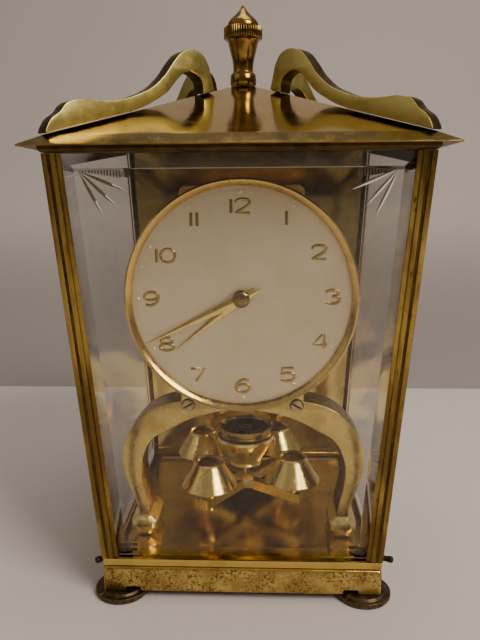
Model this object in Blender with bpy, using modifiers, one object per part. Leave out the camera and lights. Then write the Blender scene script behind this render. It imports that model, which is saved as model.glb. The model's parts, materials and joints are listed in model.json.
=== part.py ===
"""Anniversary clock: a torsion-pendulum clock in a four-sided, tapered brass and glass case.

Units are metres, +Z up, the dial faces -Y. The origin is the centre of the footprint, on the table.
"""
import math

import bmesh
import bpy
from mathutils import Matrix, Vector

# Shared clearances
GAP = 0.0003
OVERRUN = 0.002
BITE = 0.0002

# Leading sizes: the pendulum's reach sets the arch, the arch the plinth, and the dial the case's height
WEIGHT_ORBIT = 0.0290
ARCH_FOOT_CLEARANCE = 0.0180
ARCH_FOOT_X = WEIGHT_ORBIT + ARCH_FOOT_CLEARANCE
PLINTH_MARGIN = 0.0144
PLINTH_HALF = ARCH_FOOT_X + PLINTH_MARGIN
ARCH_SCREW_Z = 0.0826
DIAL_RISE = 0.0502
DIAL_Z = ARCH_SCREW_Z + DIAL_RISE
DIAL_RADIUS = 0.0492
BEZEL_WALL = 0.0018
BEZEL_RADIUS = DIAL_RADIUS + BEZEL_WALL
CASE_HEADROOM = 0.0089
CASE_HEAD_Z = DIAL_Z + BEZEL_RADIUS + CASE_HEADROOM

# Plinth
PLINTH_BOTTOM = 0.0040
PLINTH_HEIGHT = 0.0118
PLINTH_TOP = PLINTH_BOTTOM + PLINTH_HEIGHT
PLINTH_WALL = 0.0016
PLINTH_EDGE_RADIUS = 0.0018
NOTCH_INSET = 0.0099
NOTCH_WIDTH = 0.0067
NOTCH_FAR = PLINTH_HALF - NOTCH_INSET
NOTCH_NEAR = NOTCH_FAR - NOTCH_WIDTH
NOTCH_HEIGHT = 0.0022
FOOT_BOSS_RADIUS = 0.0045
FOOT_BOSS_HEIGHT = 0.0057

# Levelling feet
FOOT_INSET = 0.0070
FOOT_PLACE = PLINTH_HALF - FOOT_INSET
FOOT_RADIUS = 0.0122
FOOT_EDGE = 0.0006
FOOT_STEP_RADIUS = 0.0098
FOOT_STEP_HEIGHT = 0.0011
FOOT_TOP = PLINTH_BOTTOM - GAP
FOOT_STEM_RADIUS = 0.0022
FOOT_STEM_COVER = 0.0028
FOOT_STEM_TOP = PLINTH_TOP - FOOT_STEM_COVER

# Case, outside half-widths: the four walls lean outwards by the same amount
CASE_FOOT_HALF = PLINTH_HALF
CASE_FOOT_Z = PLINTH_TOP
CASE_FLARE = 0.0118
CASE_HEAD_HALF = CASE_FOOT_HALF + CASE_FLARE

# Bottom rail of the case
RAIL_BOTTOM = PLINTH_TOP + GAP
RAIL_HEIGHT = 0.0034
RAIL_TOP = RAIL_BOTTOM + RAIL_HEIGHT
RAIL_WALL = 0.0015
RAIL_LIP_REACH = 0.0042
RAIL_LIP_THICKNESS = 0.0011
RAIL_LIP_HALF = CASE_FOOT_HALF - RAIL_LIP_REACH
RAIL_LIP_TOP = RAIL_BOTTOM + RAIL_LIP_THICKNESS

# Floor plate inside the case
FLOOR_THICKNESS = 0.0011
FLOOR_TOP = PLINTH_TOP + GAP + FLOOR_THICKNESS
FLOOR_HALF = RAIL_LIP_HALF - 2 * GAP

# Catch levers that hold the case down on the plinth
LEVER_INSET_X = 0.0084
LEVER_INSET_Y = 0.0108
LEVER_PIVOT_X = PLINTH_HALF - LEVER_INSET_X
LEVER_PIVOT_Y = LEVER_INSET_Y - PLINTH_HALF
LEVER_ROD_RADIUS = 0.0013
LEVER_REACH = 0.0152
LEVER_HUB_RADIUS = 0.0030
LEVER_BORE = 0.0014
LEVER_TONGUE_REACH = 0.0080
LEVER_TONGUE_HALF_WIDTH = 0.0016
LEVER_TONGUE_BOTTOM = RAIL_LIP_TOP + GAP
LEVER_TONGUE_ANGLE = math.radians(125)
LEVER_REST_RIGHT = math.radians(18)
LEVER_REST_LEFT = math.radians(37)
LEVER_FORWARD = math.radians(39)
LEVER_LOCKED = math.radians(-32)
LEVER_POCKET_REACH = 0.0040
LEVER_POCKET_INNER = LEVER_PIVOT_X - LEVER_POCKET_REACH
LEVER_STUD_HEAD = 0.0025
LEVER_STUD_HEAD_HEIGHT = 0.0012
SCREW_SLOT_WIDTH = 0.0007
SCREW_SLOT_DEPTH = 0.0006

# Corner posts, measured inwards from the outer corner
POST_WIDTH = 0.0053
POST_CORNER = 0.0005
POST_GROOVE_START = 0.0021
POST_GROOVE_END = 0.0034
POST_GROOVE_DEPTH = 0.0006
POST_LIP_WIDTH = 0.0019
POST_LIP_FRONT = 0.0011
POST_LIP_BACK = 0.0018

# Glass and rear panel, depths measured inwards from the outer plane
PANE_FRONT = POST_LIP_BACK + GAP
PANE_BACK = 0.0045
PANE_EDGE_THICKNESS = 0.0010
PANE_BEVEL = 0.0055
PANE_SIDE_INSET = POST_WIDTH + GAP
PANE_BOTTOM = RAIL_TOP + GAP
PANE_TOP = CASE_HEAD_Z - GAP
REAR_SHEET_THICKNESS = 0.0012
REAR_SHEET_BACK = PANE_FRONT + REAR_SHEET_THICKNESS
REAR_SILL_DEPTH = 0.0015
REAR_SILL_HEIGHT = 0.0035
REAR_SILL_TOP = PANE_BOTTOM + REAR_SILL_HEIGHT

# Top rail and roof
TOP_RAIL_PROUD = 0.0010
TOP_RAIL_CHAMFER = 0.0009
TOP_RAIL_WIDTH = 0.0067
TOP_RAIL_INNER_HALF = CASE_HEAD_HALF - TOP_RAIL_WIDTH
EAVE_OVERHANG = 0.0069
EAVE_HALF = CASE_HEAD_HALF + EAVE_OVERHANG
EAVE_RISE = 0.0025
EAVE_Z = CASE_HEAD_Z + EAVE_RISE
EAVE_LIP = 0.0006
ROOF_SKIRT_WIDTH = 0.0081
ROOF_SKIRT_RISE = 0.0040
ROOF_KINK_HALF = EAVE_HALF - ROOF_SKIRT_WIDTH
ROOF_KINK_Z = EAVE_Z + ROOF_SKIRT_RISE
ROOF_FLAT_HALF = 0.0050
ROOF_RISE = 0.0268
ROOF_APEX_Z = ROOF_KINK_Z + ROOF_RISE
ROOF_THICKNESS = 0.0010

# Finial
FINIAL_COLLAR_RADIUS = 0.0063
FINIAL_COLLAR_HEIGHT = 0.0054
FINIAL_COLLAR_TOP = ROOF_APEX_Z + FINIAL_COLLAR_HEIGHT
FINIAL_NECK_RADIUS = 0.0051
FINIAL_NECK_HEIGHT = 0.0059
FINIAL_NECK_TOP = FINIAL_COLLAR_TOP + FINIAL_NECK_HEIGHT
FINIAL_SHOULDER_RADIUS = 0.0081
FINIAL_SHOULDER_HEIGHT = 0.0098
FINIAL_BAND_BOTTOM = FINIAL_NECK_TOP + FINIAL_SHOULDER_HEIGHT
FINIAL_BAND_RADIUS = 0.0089
FINIAL_BAND_HEIGHT = 0.0051
FINIAL_BAND_TOP = FINIAL_BAND_BOTTOM + FINIAL_BAND_HEIGHT
FINIAL_TOP_HEIGHT = 0.0101
FINIAL_STUD_RADIUS = 0.0015
FINIAL_STUD_LENGTH = 0.0065

# Swan-neck brackets on the hips
BRACKET_THICKNESS = 0.0066
BRACKET_EDGE = 0.0006
BRACKET_HEEL_SHARE = 0.615

# Dial and bezel, centred on the hand arbor
ARCH_FRONT = -0.0360
DIAL_STANDOFF = 0.0037
DIAL_FRONT = ARCH_FRONT - DIAL_STANDOFF
DIAL_THICKNESS = 0.0008
DIAL_HOLE = 0.0036
DIAL_FOOT_RADIUS = 0.0012
DIAL_FOOT_SIDE_SHARE = 0.8
DIAL_FOOT_LOW_SHARE = 0.3
BEZEL_PROUD = 0.0030
BEZEL_FRONT = DIAL_FRONT - BEZEL_PROUD
BEZEL_SKIRT = 0.0015
BEZEL_BACK = DIAL_FRONT + BEZEL_SKIRT
BEZEL_CHAMFER = 0.0006
BEZEL_CREST = 0.0008
BEZEL_EDGE = 0.0007
BEZEL_COVER = 0.0019
BEZEL_LIP = 0.0005

# Hands
MINUTE_ANGLE = math.radians(244.9)
MINUTE_REACH = 0.0458
MINUTE_TAIL = 0.0102
HOUR_ANGLE = math.radians(232)
HOUR_REACH = 0.0344
HOUR_TAIL = 0.0076
HAND_HUB_RADIUS = 0.0034
HAND_HALF_WIDTH = 0.0014
HAND_THICKNESS = 0.0004
HAND_RIDGE = 0.0004
HOUR_HAND_CLEARANCE = 0.0007
MINUTE_HAND_CLEARANCE = 0.0016
HOUR_HAND_Y = DIAL_FRONT - HOUR_HAND_CLEARANCE
MINUTE_HAND_Y = HOUR_HAND_Y - MINUTE_HAND_CLEARANCE
NUT_RADIUS = 0.0038
NUT_HEIGHT = 0.0021
NUT_DOME_SHARE = 0.8

# Cast arch that carries the movement
ARCH_DEPTH = 0.0180
ARCH_BACK = ARCH_FRONT + ARCH_DEPTH
ARCH_PAD_THICKNESS = 0.0050
ARCH_PAD_BACK = ARCH_FRONT + ARCH_PAD_THICKNESS
ARCH_PAD_HEIGHT = 0.0134
ARCH_PAD_EXTRA = 0.0004
ARCH_FOOT_HALF = 0.0057
ARCH_FOOT_HEIGHT = 0.0085
ARCH_FOOT_TOP = FLOOR_TOP + GAP + ARCH_FOOT_HEIGHT
ARCH_FOOT_CORNER = 0.0022
ARCH_FOOT_PROUD = 0.0010
ARCH_FOOT_CHAMFER = 0.0014
ARCH_EDGE = 0.0006
ARCH_PAD_TOP = ARCH_SCREW_Z + ARCH_PAD_HEIGHT
ARCH_SCREW_HEAD = 0.0027
ARCH_SCREW_HEAD_HEIGHT = 0.0013
ARCH_SCREW_SHANK = 0.0014
ARCH_SCREW_GRIP = 0.0040

# Movement plates and pillars
PLATE_THICKNESS = 0.0018
PLATES_APART = 0.0209
FRONT_PLATE_FRONT = ARCH_PAD_BACK + GAP
FRONT_PLATE_BACK = FRONT_PLATE_FRONT + PLATE_THICKNESS
BACK_PLATE_FRONT = FRONT_PLATE_BACK + PLATES_APART
BACK_PLATE_BACK = BACK_PLATE_FRONT + PLATE_THICKNESS
PLATE_HALF = 0.0276
PLATE_RISE = 0.0482
PLATE_MARGIN = 0.0028
PLATE_TOP_MARGIN = 0.0045
PLATE_BOTTOM = ARCH_SCREW_Z - PLATE_MARGIN
PLATE_TOP = DIAL_Z + PLATE_RISE
PLATE_CORNER = 0.0030
PILLAR_RADIUS = 0.0025
PILLAR_TENON = 0.0013
PILLAR_X = PLATE_HALF - PLATE_MARGIN
PILLAR_TOP_Z = PLATE_TOP - PLATE_TOP_MARGIN
ARCH_SCREW_X = PILLAR_X
ARCH_PAD_HALF = PLATE_HALF + ARCH_PAD_EXTRA
ARCH_POCKET_HALF = PLATE_HALF + GAP

# Wheel train: tooth numbers and modules
BARREL_TEETH = 54
BARREL_MODULE = 0.00075
SECOND_TEETH = 54
SECOND_PINION = 6
SECOND_MODULE = 0.00055
THIRD_TEETH = 54
THIRD_PINION = 6
THIRD_MODULE = 0.00045
CENTRE_TEETH = 48
CENTRE_PINION = 6
CENTRE_MODULE = 0.00045
FOURTH_TEETH = 32
FOURTH_PINION = 8
FOURTH_MODULE = 0.00050
ESCAPE_TEETH = 20
ESCAPE_PINION = 8
ESCAPE_RADIUS = 0.0080
ESCAPE_ROOT = 0.0062
MOTION_MODULE = 0.00060
CANNON_TEETH = 10
MINUTE_WHEEL_TEETH = 30
MINUTE_PINION_TEETH = 8
HOUR_WHEEL_TEETH = 32

# Tooth form, as shares of the module and of the tooth pitch
WHEEL_ADDENDUM_SHARE = 0.85
WHEEL_DEDENDUM_SHARE = 1.15
PINION_ADDENDUM_SHARE = 0.55
PINION_DEDENDUM_SHARE = 1.20
PINION_TIP_SHARE = 0.17
PINION_ROOT_SHARE = 0.36
WHEEL_ARM_SHARE = 0.8
ESCAPE_LEAN_SHARE = 0.30
RATCHET_LEAN_SHARE = 0.12

# Train places
BARREL_X = -0.0070
BARREL_DROP = 0.0288
BARREL_Z = DIAL_Z - BARREL_DROP
SECOND_BEARING = math.radians(35)
FOURTH_BEARING = math.radians(125)
MINUTE_STUD_BEARING = math.radians(225)

# Train depths, from the front plate's back face to the front edge of each wheel or pinion
SECOND_WHEEL_DEPTH = 0.0013
THIRD_PINION_DEPTH = 0.0006
THIRD_WHEEL_DEPTH = 0.0089
CENTRE_PINION_DEPTH = 0.0079
CENTRE_WHEEL_DEPTH = 0.0129
FOURTH_PINION_DEPTH = 0.0119
FOURTH_WHEEL_DEPTH = 0.0054
ESCAPE_PINION_DEPTH = 0.0044
ESCAPE_WHEEL_DEPTH = 0.0164
SECOND_PINION_DEPTH = 0.0159
WHEEL_THICKNESS = 0.0011
PINION_LENGTH = 0.0031
ARBOR_RADIUS = 0.0009
PIVOT_RADIUS = 0.0006

# Barrel and winding work
DRUM_RADIUS = 0.0180
DRUM_DEPTH = 0.0130
DRUM_EDGE = 0.0008
DRUM_CLEARANCE = 0.0035
GREAT_WHEEL_THICKNESS = 0.0018
WINDING_RADIUS = 0.0020
WINDING_PIVOT = 0.0015
WINDING_SQUARE_HALF = 0.0014
WINDING_REACH = 0.0082
RATCHET_TEETH = 24
RATCHET_RADIUS = 0.0065
RATCHET_ROOT = 0.0056
RATCHET_CLEARANCE = 0.0005
RATCHET_THICKNESS = 0.0015
CLICK_OFFSET_X = 0.0145
CLICK_OFFSET_Z = -0.0055
CLICK_HALF_WIDTH = 0.0013
CLICK_HEAD_SHARE = 1.7
CLICK_HEAD_OPENING = math.radians(108)
CLICK_BORE = 0.0010

# Motion work between dial and front plate
MOTION_THICKNESS = 0.0012
CANNON_GEAR_STANDOFF = 0.0019
HOUR_WHEEL_STANDOFF = 0.0024
HOUR_TUBE_RADIUS = 0.0030
HOUR_TUBE_BORE = 0.0023
CANNON_RADIUS = 0.0020
CANNON_BORE = 0.0013
CENTRE_ARBOR_RADIUS = 0.0010
MINUTE_STUD_RADIUS = 0.0008

# Escapement
PALLET_CLEARANCE = 0.0006
PALLET_BODY = 0.0020
PALLET_RELIEF = 0.0010
PALLET_SPAN = math.radians(104)
PALLET_NIB_SHARE = 0.7
ANCHOR_RISE = 0.0115
ANCHOR_HUB_RADIUS = 0.0020
ANCHOR_THICKNESS = 0.0018
ANCHOR_PIN_RADIUS = 0.0005
ANCHOR_PIN_REACH = 0.0043
ANCHOR_PIN_RISE = 0.0015

# Suspension and pendulum, about the vertical axis behind the back plate
PENDULUM_Y = 0.0
SADDLE_HALF = 0.0060
SADDLE_DEPTH = 0.0088
SADDLE_THICKNESS = 0.0024
SADDLE_RISE = 0.0010
SADDLE_TOP = PLATE_TOP + SADDLE_RISE
SADDLE_FOOT_HEIGHT = 0.0056
SADDLE_FOOT_THICKNESS = 0.0015
BLOCK_HALF_X = 0.0016
BLOCK_HALF_Y = 0.0013
BLOCK_HEAD_HALF = 0.0027
BLOCK_HEAD_HEIGHT = 0.0021
BLOCK_DROP = 0.0042
BLOCK_BOTTOM = SADDLE_TOP - BLOCK_DROP
STRIP_HALF_WIDTH = 0.0008
STRIP_HALF_THICKNESS = 0.00018
STRIP_BORE = 0.0011
STRIP_GRIP_TOP = 0.0008
STRIP_GRIP_BOTTOM = 0.0015
STRIP_TOP = SADDLE_TOP + STRIP_GRIP_TOP
FORK_DROP = 0.0038
FORK_Z = BLOCK_BOTTOM - FORK_DROP
FORK_HEIGHT = 0.0024
FORK_HUB_RADIUS = 0.0021
FORK_PLAY = 0.00035
FORK_TINE_INNER = ANCHOR_PIN_RADIUS + FORK_PLAY
FORK_TINE_WIDTH = 0.0008
FORK_TINE_REACH = 0.0052
FORK_TINE_ROOT_SHARE = 0.8
ANCHOR_PIN_TOP = FORK_Z + ANCHOR_PIN_RISE
HOOK_HALF_X = 0.0027
HOOK_HALF_Y = 0.0015
HOOK_BLOCK_HEIGHT = 0.0040
HOOK_BLOCK_RISE = 0.0122
HOOK_PIN_X = 0.0019
HOOK_PIN_RADIUS = 0.0005
HOOK_DISC_RADIUS = 0.0036
HOOK_DISC_THICKNESS = 0.0008
HOOK_STEM_RADIUS = 0.0016

ARM_CLEARANCE = 0.0093
ARM_HEIGHT = 0.0047
ARM_TOP = FLOOR_TOP + ARM_CLEARANCE + ARM_HEIGHT
HUB_FOOT_RISE = 0.0075
HUB_FOOT_Z = ARM_TOP + HUB_FOOT_RISE
HUB_FOOT_RADIUS = 0.0064
HUB_FOOT_BEAD = 0.0008
HUB_PIN_RADIUS = 0.0005
HUB_CONE_HEIGHT = 0.0137
HUB_WAIST_RADIUS = 0.0135
HUB_RING_RADIUS = 0.0147
HUB_RING_HEIGHT = 0.0021
HUB_RING_BOTTOM = HUB_FOOT_Z + HUB_CONE_HEIGHT
HUB_RING_TOP = HUB_RING_BOTTOM + HUB_RING_HEIGHT
REGULATOR_HEIGHT = 0.0050
REGULATOR_BOTTOM = HUB_RING_TOP + GAP
REGULATOR_TOP = REGULATOR_BOTTOM + REGULATOR_HEIGHT
REGULATOR_RIM_RADIUS = 0.0140
REGULATOR_SIDE_RADIUS = 0.0134
REGULATOR_RIM_HEIGHT = 0.0014
REGULATOR_RIM_WALL = 0.0011
REGULATOR_DISH_DEPTH = 0.0020
REGULATOR_DISH_Z = REGULATOR_TOP - REGULATOR_DISH_DEPTH
HOOK_BLOCK_BOTTOM = REGULATOR_TOP + HOOK_BLOCK_RISE
HOOK_TOP = HOOK_BLOCK_BOTTOM + HOOK_BLOCK_HEIGHT
STRIP_BOTTOM = HOOK_TOP - STRIP_GRIP_BOTTOM

ARM_HALF_WIDTH = 0.0024
ARM_HUB_RADIUS = 0.0048
ARM_OVERREACH = 0.0055
ARM_REACH = WEIGHT_ORBIT + ARM_OVERREACH
WEIGHT_ANGLE = math.radians(55)
WEIGHT_TRAVEL = 0.0015
WEIGHT_BOSS_HEIGHT = 0.0063
WEIGHT_HEIGHT = 0.0125
WEIGHT_BOTTOM = ARM_TOP + WEIGHT_BOSS_HEIGHT
WEIGHT_TOP = WEIGHT_BOTTOM + WEIGHT_HEIGHT
WEIGHT_BASE_RADIUS = 0.0135
WEIGHT_HEAD_RADIUS = 0.0070
WEIGHT_BASE_LAND = 0.0007
WEIGHT_HEAD_LAND = 0.0005
WEIGHT_DISH = 0.0010
WEIGHT_BOSS_RADIUS = 0.0037
WEIGHT_STUD_RADIUS = 0.0012
WEIGHT_NUT_RADIUS = 0.0025
WEIGHT_NUT_HEIGHT = 0.0016

# Facet counts
STEPS_BIG = 36
STEPS_TURNED = 18
STEPS_ROUND = 14
STEPS_BORE = 12
STEPS_SCREW = 8
STEPS_SMALL = 6
SQUARE = 4

SLANT = (CASE_HEAD_HALF - CASE_FOOT_HALF) / (CASE_HEAD_Z - CASE_FOOT_Z)
HIP = math.sqrt(2)
MERGE_DISTANCE = GAP / 300
QUARTER = math.pi / 2

COLOURS = {
    "brass": ((0.72, 0.52, 0.20, 1), 0.25, 1.0),
    "cast_brass": ((0.62, 0.50, 0.22, 1), 0.40, 1.0),
    "plinth_brass": ((0.52, 0.38, 0.14, 1), 0.45, 1.0),
    "bronze": ((0.16, 0.12, 0.07, 1), 0.45, 1.0),
    "glass": ((0.90, 0.93, 0.92, 0.3), 0.02, 0.0),
    "steel": ((0.35, 0.35, 0.36, 1), 0.30, 1.0),
    "black_steel": ((0.04, 0.04, 0.045, 1), 0.40, 1.0),
    "silver_dial": ((0.78, 0.74, 0.66, 1), 0.45, 0.3),
    "gold": ((0.83, 0.62, 0.25, 1), 0.22, 1.0),
}


# Scene and materials

def clear_scene():
    for ob in list(bpy.data.objects):
        bpy.data.objects.remove(ob, do_unlink=True)


def collection(name):
    found = bpy.data.collections.get(name) or bpy.data.collections.new(name)
    if found.name not in bpy.context.scene.collection.children:
        bpy.context.scene.collection.children.link(found)
    return found


def material(kind, name):
    colour, roughness, metallic = COLOURS[kind]
    mat = bpy.data.materials.new(name)
    mat.use_nodes = True
    shader = mat.node_tree.nodes["Principled BSDF"]
    shader.inputs["Base Color"].default_value = colour
    shader.inputs["Roughness"].default_value = roughness
    shader.inputs["Metallic"].default_value = metallic
    shader.inputs["Alpha"].default_value = colour[3]
    return mat


def add(name, mesh, kind=None):
    """Link a mesh as a part, or as a hidden tool shape when it has no material."""
    ob = bpy.data.objects.new(name, mesh)
    if kind is None:
        collection("tool_shapes").objects.link(ob)
        ob.hide_render = True
        ob.display_type = "WIRE"
    else:
        collection("anniversary_clock").objects.link(ob)
        mesh.materials.append(material(kind, name))
    return ob


def finish(bm, smooth_angle=math.radians(35)):
    """Weld, face outwards, and return the mesh with sharp edges marked by angle."""
    bmesh.ops.remove_doubles(bm, verts=bm.verts, dist=MERGE_DISTANCE)
    bmesh.ops.recalc_face_normals(bm, faces=bm.faces)
    mesh = bpy.data.meshes.new("shape")
    bm.to_mesh(mesh)
    bm.free()
    mesh.shade_smooth()
    mesh.set_sharp_from_angle(angle=smooth_angle)
    return mesh


def hung(ob, point):
    """Put the object's origin on its joint axis and leave the shape where it is."""
    ob.data.transform(Matrix.Translation(-Vector(point)))
    ob.location = point
    return ob


def evaluated(ob):
    """The object's mesh with its modifiers, in world space; the object is removed."""
    bpy.context.view_layer.update()
    graph = bpy.context.evaluated_depsgraph_get()
    mesh = bpy.data.meshes.new_from_object(ob.evaluated_get(graph), depsgraph=graph)
    mesh.transform(ob.matrix_world)
    bpy.data.objects.remove(ob, do_unlink=True)
    bm = bmesh.new()
    bm.from_mesh(mesh)
    return finish(bm)


# Shapes

def turned(profile, steps, closed=False, start=0.0):
    """Revolve (radius, height) points about Z; they run down the outer side."""
    mesh = bpy.data.meshes.new("profile")
    count = len(profile)
    links = [(i, i + 1) for i in range(count - 1)]
    if closed:
        links.append((count - 1, 0))
    mesh.from_pydata([(r, 0, z) for r, z in profile], links, [])
    ob = add("profile", mesh)
    ob.rotation_euler.z = start
    screw = ob.modifiers.new("Screw", "SCREW")
    screw.steps = steps
    screw.render_steps = steps
    screw.use_merge_vertices = True
    screw.merge_threshold = MERGE_DISTANCE
    return evaluated(ob)


def square_turned(profile, closed=False):
    """A four-sided turning: the profile is given in half-widths."""
    return turned([(h * HIP, z) for h, z in profile], SQUARE, closed, QUARTER / 2)


def flat(outlines, thickness, edge=0.0):
    """Extrude closed 2D outlines (the first outside, the rest holes) about z = 0.

    A chamfer of the given edge width stays inside the outline and the thickness.
    """
    curve = bpy.data.curves.new("outline", "CURVE")
    curve.dimensions = "2D"
    curve.fill_mode = "BOTH"
    curve.extrude = thickness / 2 - edge
    curve.bevel_depth = edge
    curve.bevel_resolution = 0
    curve.offset = -edge
    for points in outlines:
        spline = curve.splines.new("POLY")
        spline.points.add(len(points) - 1)
        for point, (x, y) in zip(spline.points, points):
            point.co = (x, y, 0, 1)
        spline.use_cyclic_u = True
    return evaluated(add("outline", curve))


def placed(mesh, matrix):
    mesh.transform(matrix)
    if matrix.determinant() < 0:
        mesh.flip_normals()
    return mesh


def upright(outlines, front, thickness, edge=0.0):
    """A flat plate standing in the XZ plane, its front face at y = front."""
    stand = Matrix.Translation((0, front + thickness / 2, 0)) @ Matrix.Rotation(QUARTER, 4, "X")
    return placed(flat(outlines, thickness, edge), stand)


def level(outlines, bottom, thickness):
    """A flat plate lying in the XY plane, its lower face at z = bottom."""
    return placed(flat(outlines, thickness), Matrix.Translation((0, 0, bottom + thickness / 2)))


def turned_y(profile, steps, x=0.0, z=0.0, closed=False):
    """A turning about the Y direction through (x, z); profile is (radius, y), front to back."""
    flipped = [(r, -y) for r, y in profile]
    lay = Matrix.Translation((x, 0, z)) @ Matrix.Rotation(QUARTER, 4, "X")
    return placed(turned(flipped, steps, closed), lay)


def box(low, high):
    bm = bmesh.new()
    bmesh.ops.create_cube(bm, size=1)
    size = [b - a for a, b in zip(low, high)]
    middle = [(a + b) / 2 for a, b in zip(low, high)]
    bmesh.ops.scale(bm, vec=size, verts=bm.verts)
    bmesh.ops.translate(bm, vec=middle, verts=bm.verts)
    return finish(bm)


def rod(radius, start, end, steps=STEPS_SCREW):
    """A plain cylinder between two points."""
    a, b = Vector(start), Vector(end)
    bm = bmesh.new()
    bmesh.ops.create_cone(bm, cap_ends=True, segments=steps, radius1=radius, radius2=radius,
                          depth=(b - a).length)
    turn = (b - a).to_track_quat("Z", "Y").to_matrix().to_4x4()
    bm.transform(Matrix.Translation((a + b) / 2) @ turn)
    return finish(bm)


def loft(sections):
    """Skin equal rings of points and cap both ends."""
    bm = bmesh.new()
    rings = [[bm.verts.new(p) for p in ring] for ring in sections]
    for a, b in zip(rings, rings[1:]):
        for i in range(len(a)):
            j = (i + 1) % len(a)
            bm.faces.new((a[i], a[j], b[j], b[i]))
    bm.faces.new(rings[0])
    bm.faces.new(rings[-1])
    return finish(bm)


def combine(ob, tools, operation):
    for mesh in tools:
        tool = add(ob.name + "_tool", mesh)
        step = ob.modifiers.new(operation.title(), "BOOLEAN")
        step.operation = operation
        step.object = tool
    return ob


def join(ob, *tools):
    return combine(ob, tools, "UNION")


def cut(ob, *tools):
    return combine(ob, tools, "DIFFERENCE")


# Outlines

def arc(centre, radius, start, end, count):
    """Points on an arc, both ends included."""
    cx, cy = centre
    turns = [start + (end - start) * i / (count - 1) for i in range(count)]
    return [(cx + radius * math.cos(t), cy + radius * math.sin(t)) for t in turns]


def circle(centre, radius, count=STEPS_SCREW):
    return arc(centre, radius, 0, 2 * math.pi * (count - 1) / count, count)


def rounded_rectangle(half, bottom, top, radius, count=4):
    corners = (((half - radius), (top - radius), 0), (-(half - radius), (top - radius), 1),
               (-(half - radius), (bottom + radius), 2), ((half - radius), (bottom + radius), 3))
    points = []
    for x, y, quarter in corners:
        points += arc((x, y), radius, quarter * QUARTER, (quarter + 1) * QUARTER, count)
    return points


def toothed(centre, teeth, module, phase, is_pinion=False):
    """Outline of a clock wheel or pinion with one tooth centred on the phase angle."""
    pitch = teeth * module / 2
    tip = pitch + (PINION_ADDENDUM_SHARE if is_pinion else WHEEL_ADDENDUM_SHARE) * module
    root = pitch - (PINION_DEDENDUM_SHARE if is_pinion else WHEEL_DEDENDUM_SHARE) * module
    tooth = 2 * math.pi / teeth
    points = []
    for i in range(teeth):
        middle = phase + i * tooth
        corners = [(root, -1 / 2), (tip, 0)]
        if is_pinion:
            flank, land = PINION_ROOT_SHARE / 2, PINION_TIP_SHARE / 2
            corners = [(root, -flank), (tip, -land), (tip, land), (root, flank)]
        for radius, offset in corners:
            turn = middle + offset * tooth
            points.append((centre[0] + radius * math.cos(turn), centre[1] + radius * math.sin(turn)))
    return points


def saw_toothed(centre, teeth, tip, root, phase, lean_share):
    """Pointed teeth that lean one way, for the escape and ratchet wheels."""
    tooth = 2 * math.pi / teeth
    points = []
    for i in range(teeth):
        middle = phase + i * tooth
        for radius, offset in ((root, 0), (tip, lean_share)):
            turn = middle + offset * tooth
            points.append((centre[0] + radius * math.cos(turn), centre[1] + radius * math.sin(turn)))
    return points


def crossings(centre, inner, outer, arms, arm_width, phase=0.0, count=3):
    """Windows that leave the arms of a wheel."""
    windows = []
    for i in range(arms):
        start = phase + i * 2 * math.pi / arms
        end = start + 2 * math.pi / arms
        near = arm_width / 2 / inner
        far = arm_width / 2 / outer
        windows.append(arc(centre, inner, start + near, end - near, count)
                       + arc(centre, outer, end - far, start + far, count))
    return windows


def bearing(a, b):
    return math.atan2(b[1] - a[1], b[0] - a[0])


def along(point, turn, distance):
    return (point[0] + distance * math.cos(turn), point[1] + distance * math.sin(turn))


def meeting(a, reach_a, b, reach_b, side):
    """The point at the two given distances from a and b."""
    gap = math.dist(a, b)
    run = (reach_a ** 2 - reach_b ** 2 + gap ** 2) / (2 * gap)
    rise = math.sqrt(reach_a ** 2 - run ** 2) * side
    turn = bearing(a, b)
    foot = along(a, turn, run)
    return along(foot, turn + QUARTER, rise)


def centres_apart(wheel, pinion, module):
    return (wheel + pinion) * module / 2


def case_half(z):
    """Outer half-width of the tapered case at a height."""
    return CASE_FOOT_HALF + (z - CASE_FOOT_Z) * SLANT


# Places in the movement, as (x, z)

CENTRE = (0.0, DIAL_Z)
BARREL = (BARREL_X, BARREL_Z)
SECOND = along(BARREL, SECOND_BEARING, centres_apart(BARREL_TEETH, SECOND_PINION, BARREL_MODULE))
THIRD = meeting(SECOND, centres_apart(SECOND_TEETH, THIRD_PINION, SECOND_MODULE),
                CENTRE, centres_apart(THIRD_TEETH, CENTRE_PINION, THIRD_MODULE), -1)
FOURTH = along(CENTRE, FOURTH_BEARING, centres_apart(CENTRE_TEETH, FOURTH_PINION, CENTRE_MODULE))
ESCAPE_REACH = centres_apart(FOURTH_TEETH, ESCAPE_PINION, FOURTH_MODULE)
ESCAPE = (0.0, FOURTH[1] + math.sqrt(ESCAPE_REACH ** 2 - FOURTH[0] ** 2))
ANCHOR = (0.0, ESCAPE[1] + ANCHOR_RISE)
MINUTE_STUD = along(CENTRE, MINUTE_STUD_BEARING,
                    centres_apart(CANNON_TEETH, MINUTE_WHEEL_TEETH, MOTION_MODULE))
ARBORS = (SECOND, THIRD, FOURTH, ESCAPE, ANCHOR)
PILLARS = ((-ARCH_SCREW_X, ARCH_SCREW_Z), (ARCH_SCREW_X, ARCH_SCREW_Z),
           (-ARCH_SCREW_X, PILLAR_TOP_Z), (ARCH_SCREW_X, PILLAR_TOP_Z))
CLICK_PIVOT = (BARREL_X + CLICK_OFFSET_X, BARREL_Z + CLICK_OFFSET_Z)
DRUM_FRONT = FRONT_PLATE_BACK + DRUM_CLEARANCE
DRUM_BACK = DRUM_FRONT + DRUM_DEPTH
RATCHET_FRONT = BACK_PLATE_BACK + RATCHET_CLEARANCE


def behind_front(depth):
    """Place of a wheel between the plates, from its depth behind the front plate."""
    return FRONT_PLATE_BACK + depth


def cannon_gear_front():
    return FRONT_PLATE_FRONT - CANNON_GEAR_STANDOFF


def hour_wheel_front():
    return cannon_gear_front() - HOUR_WHEEL_STANDOFF


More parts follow.
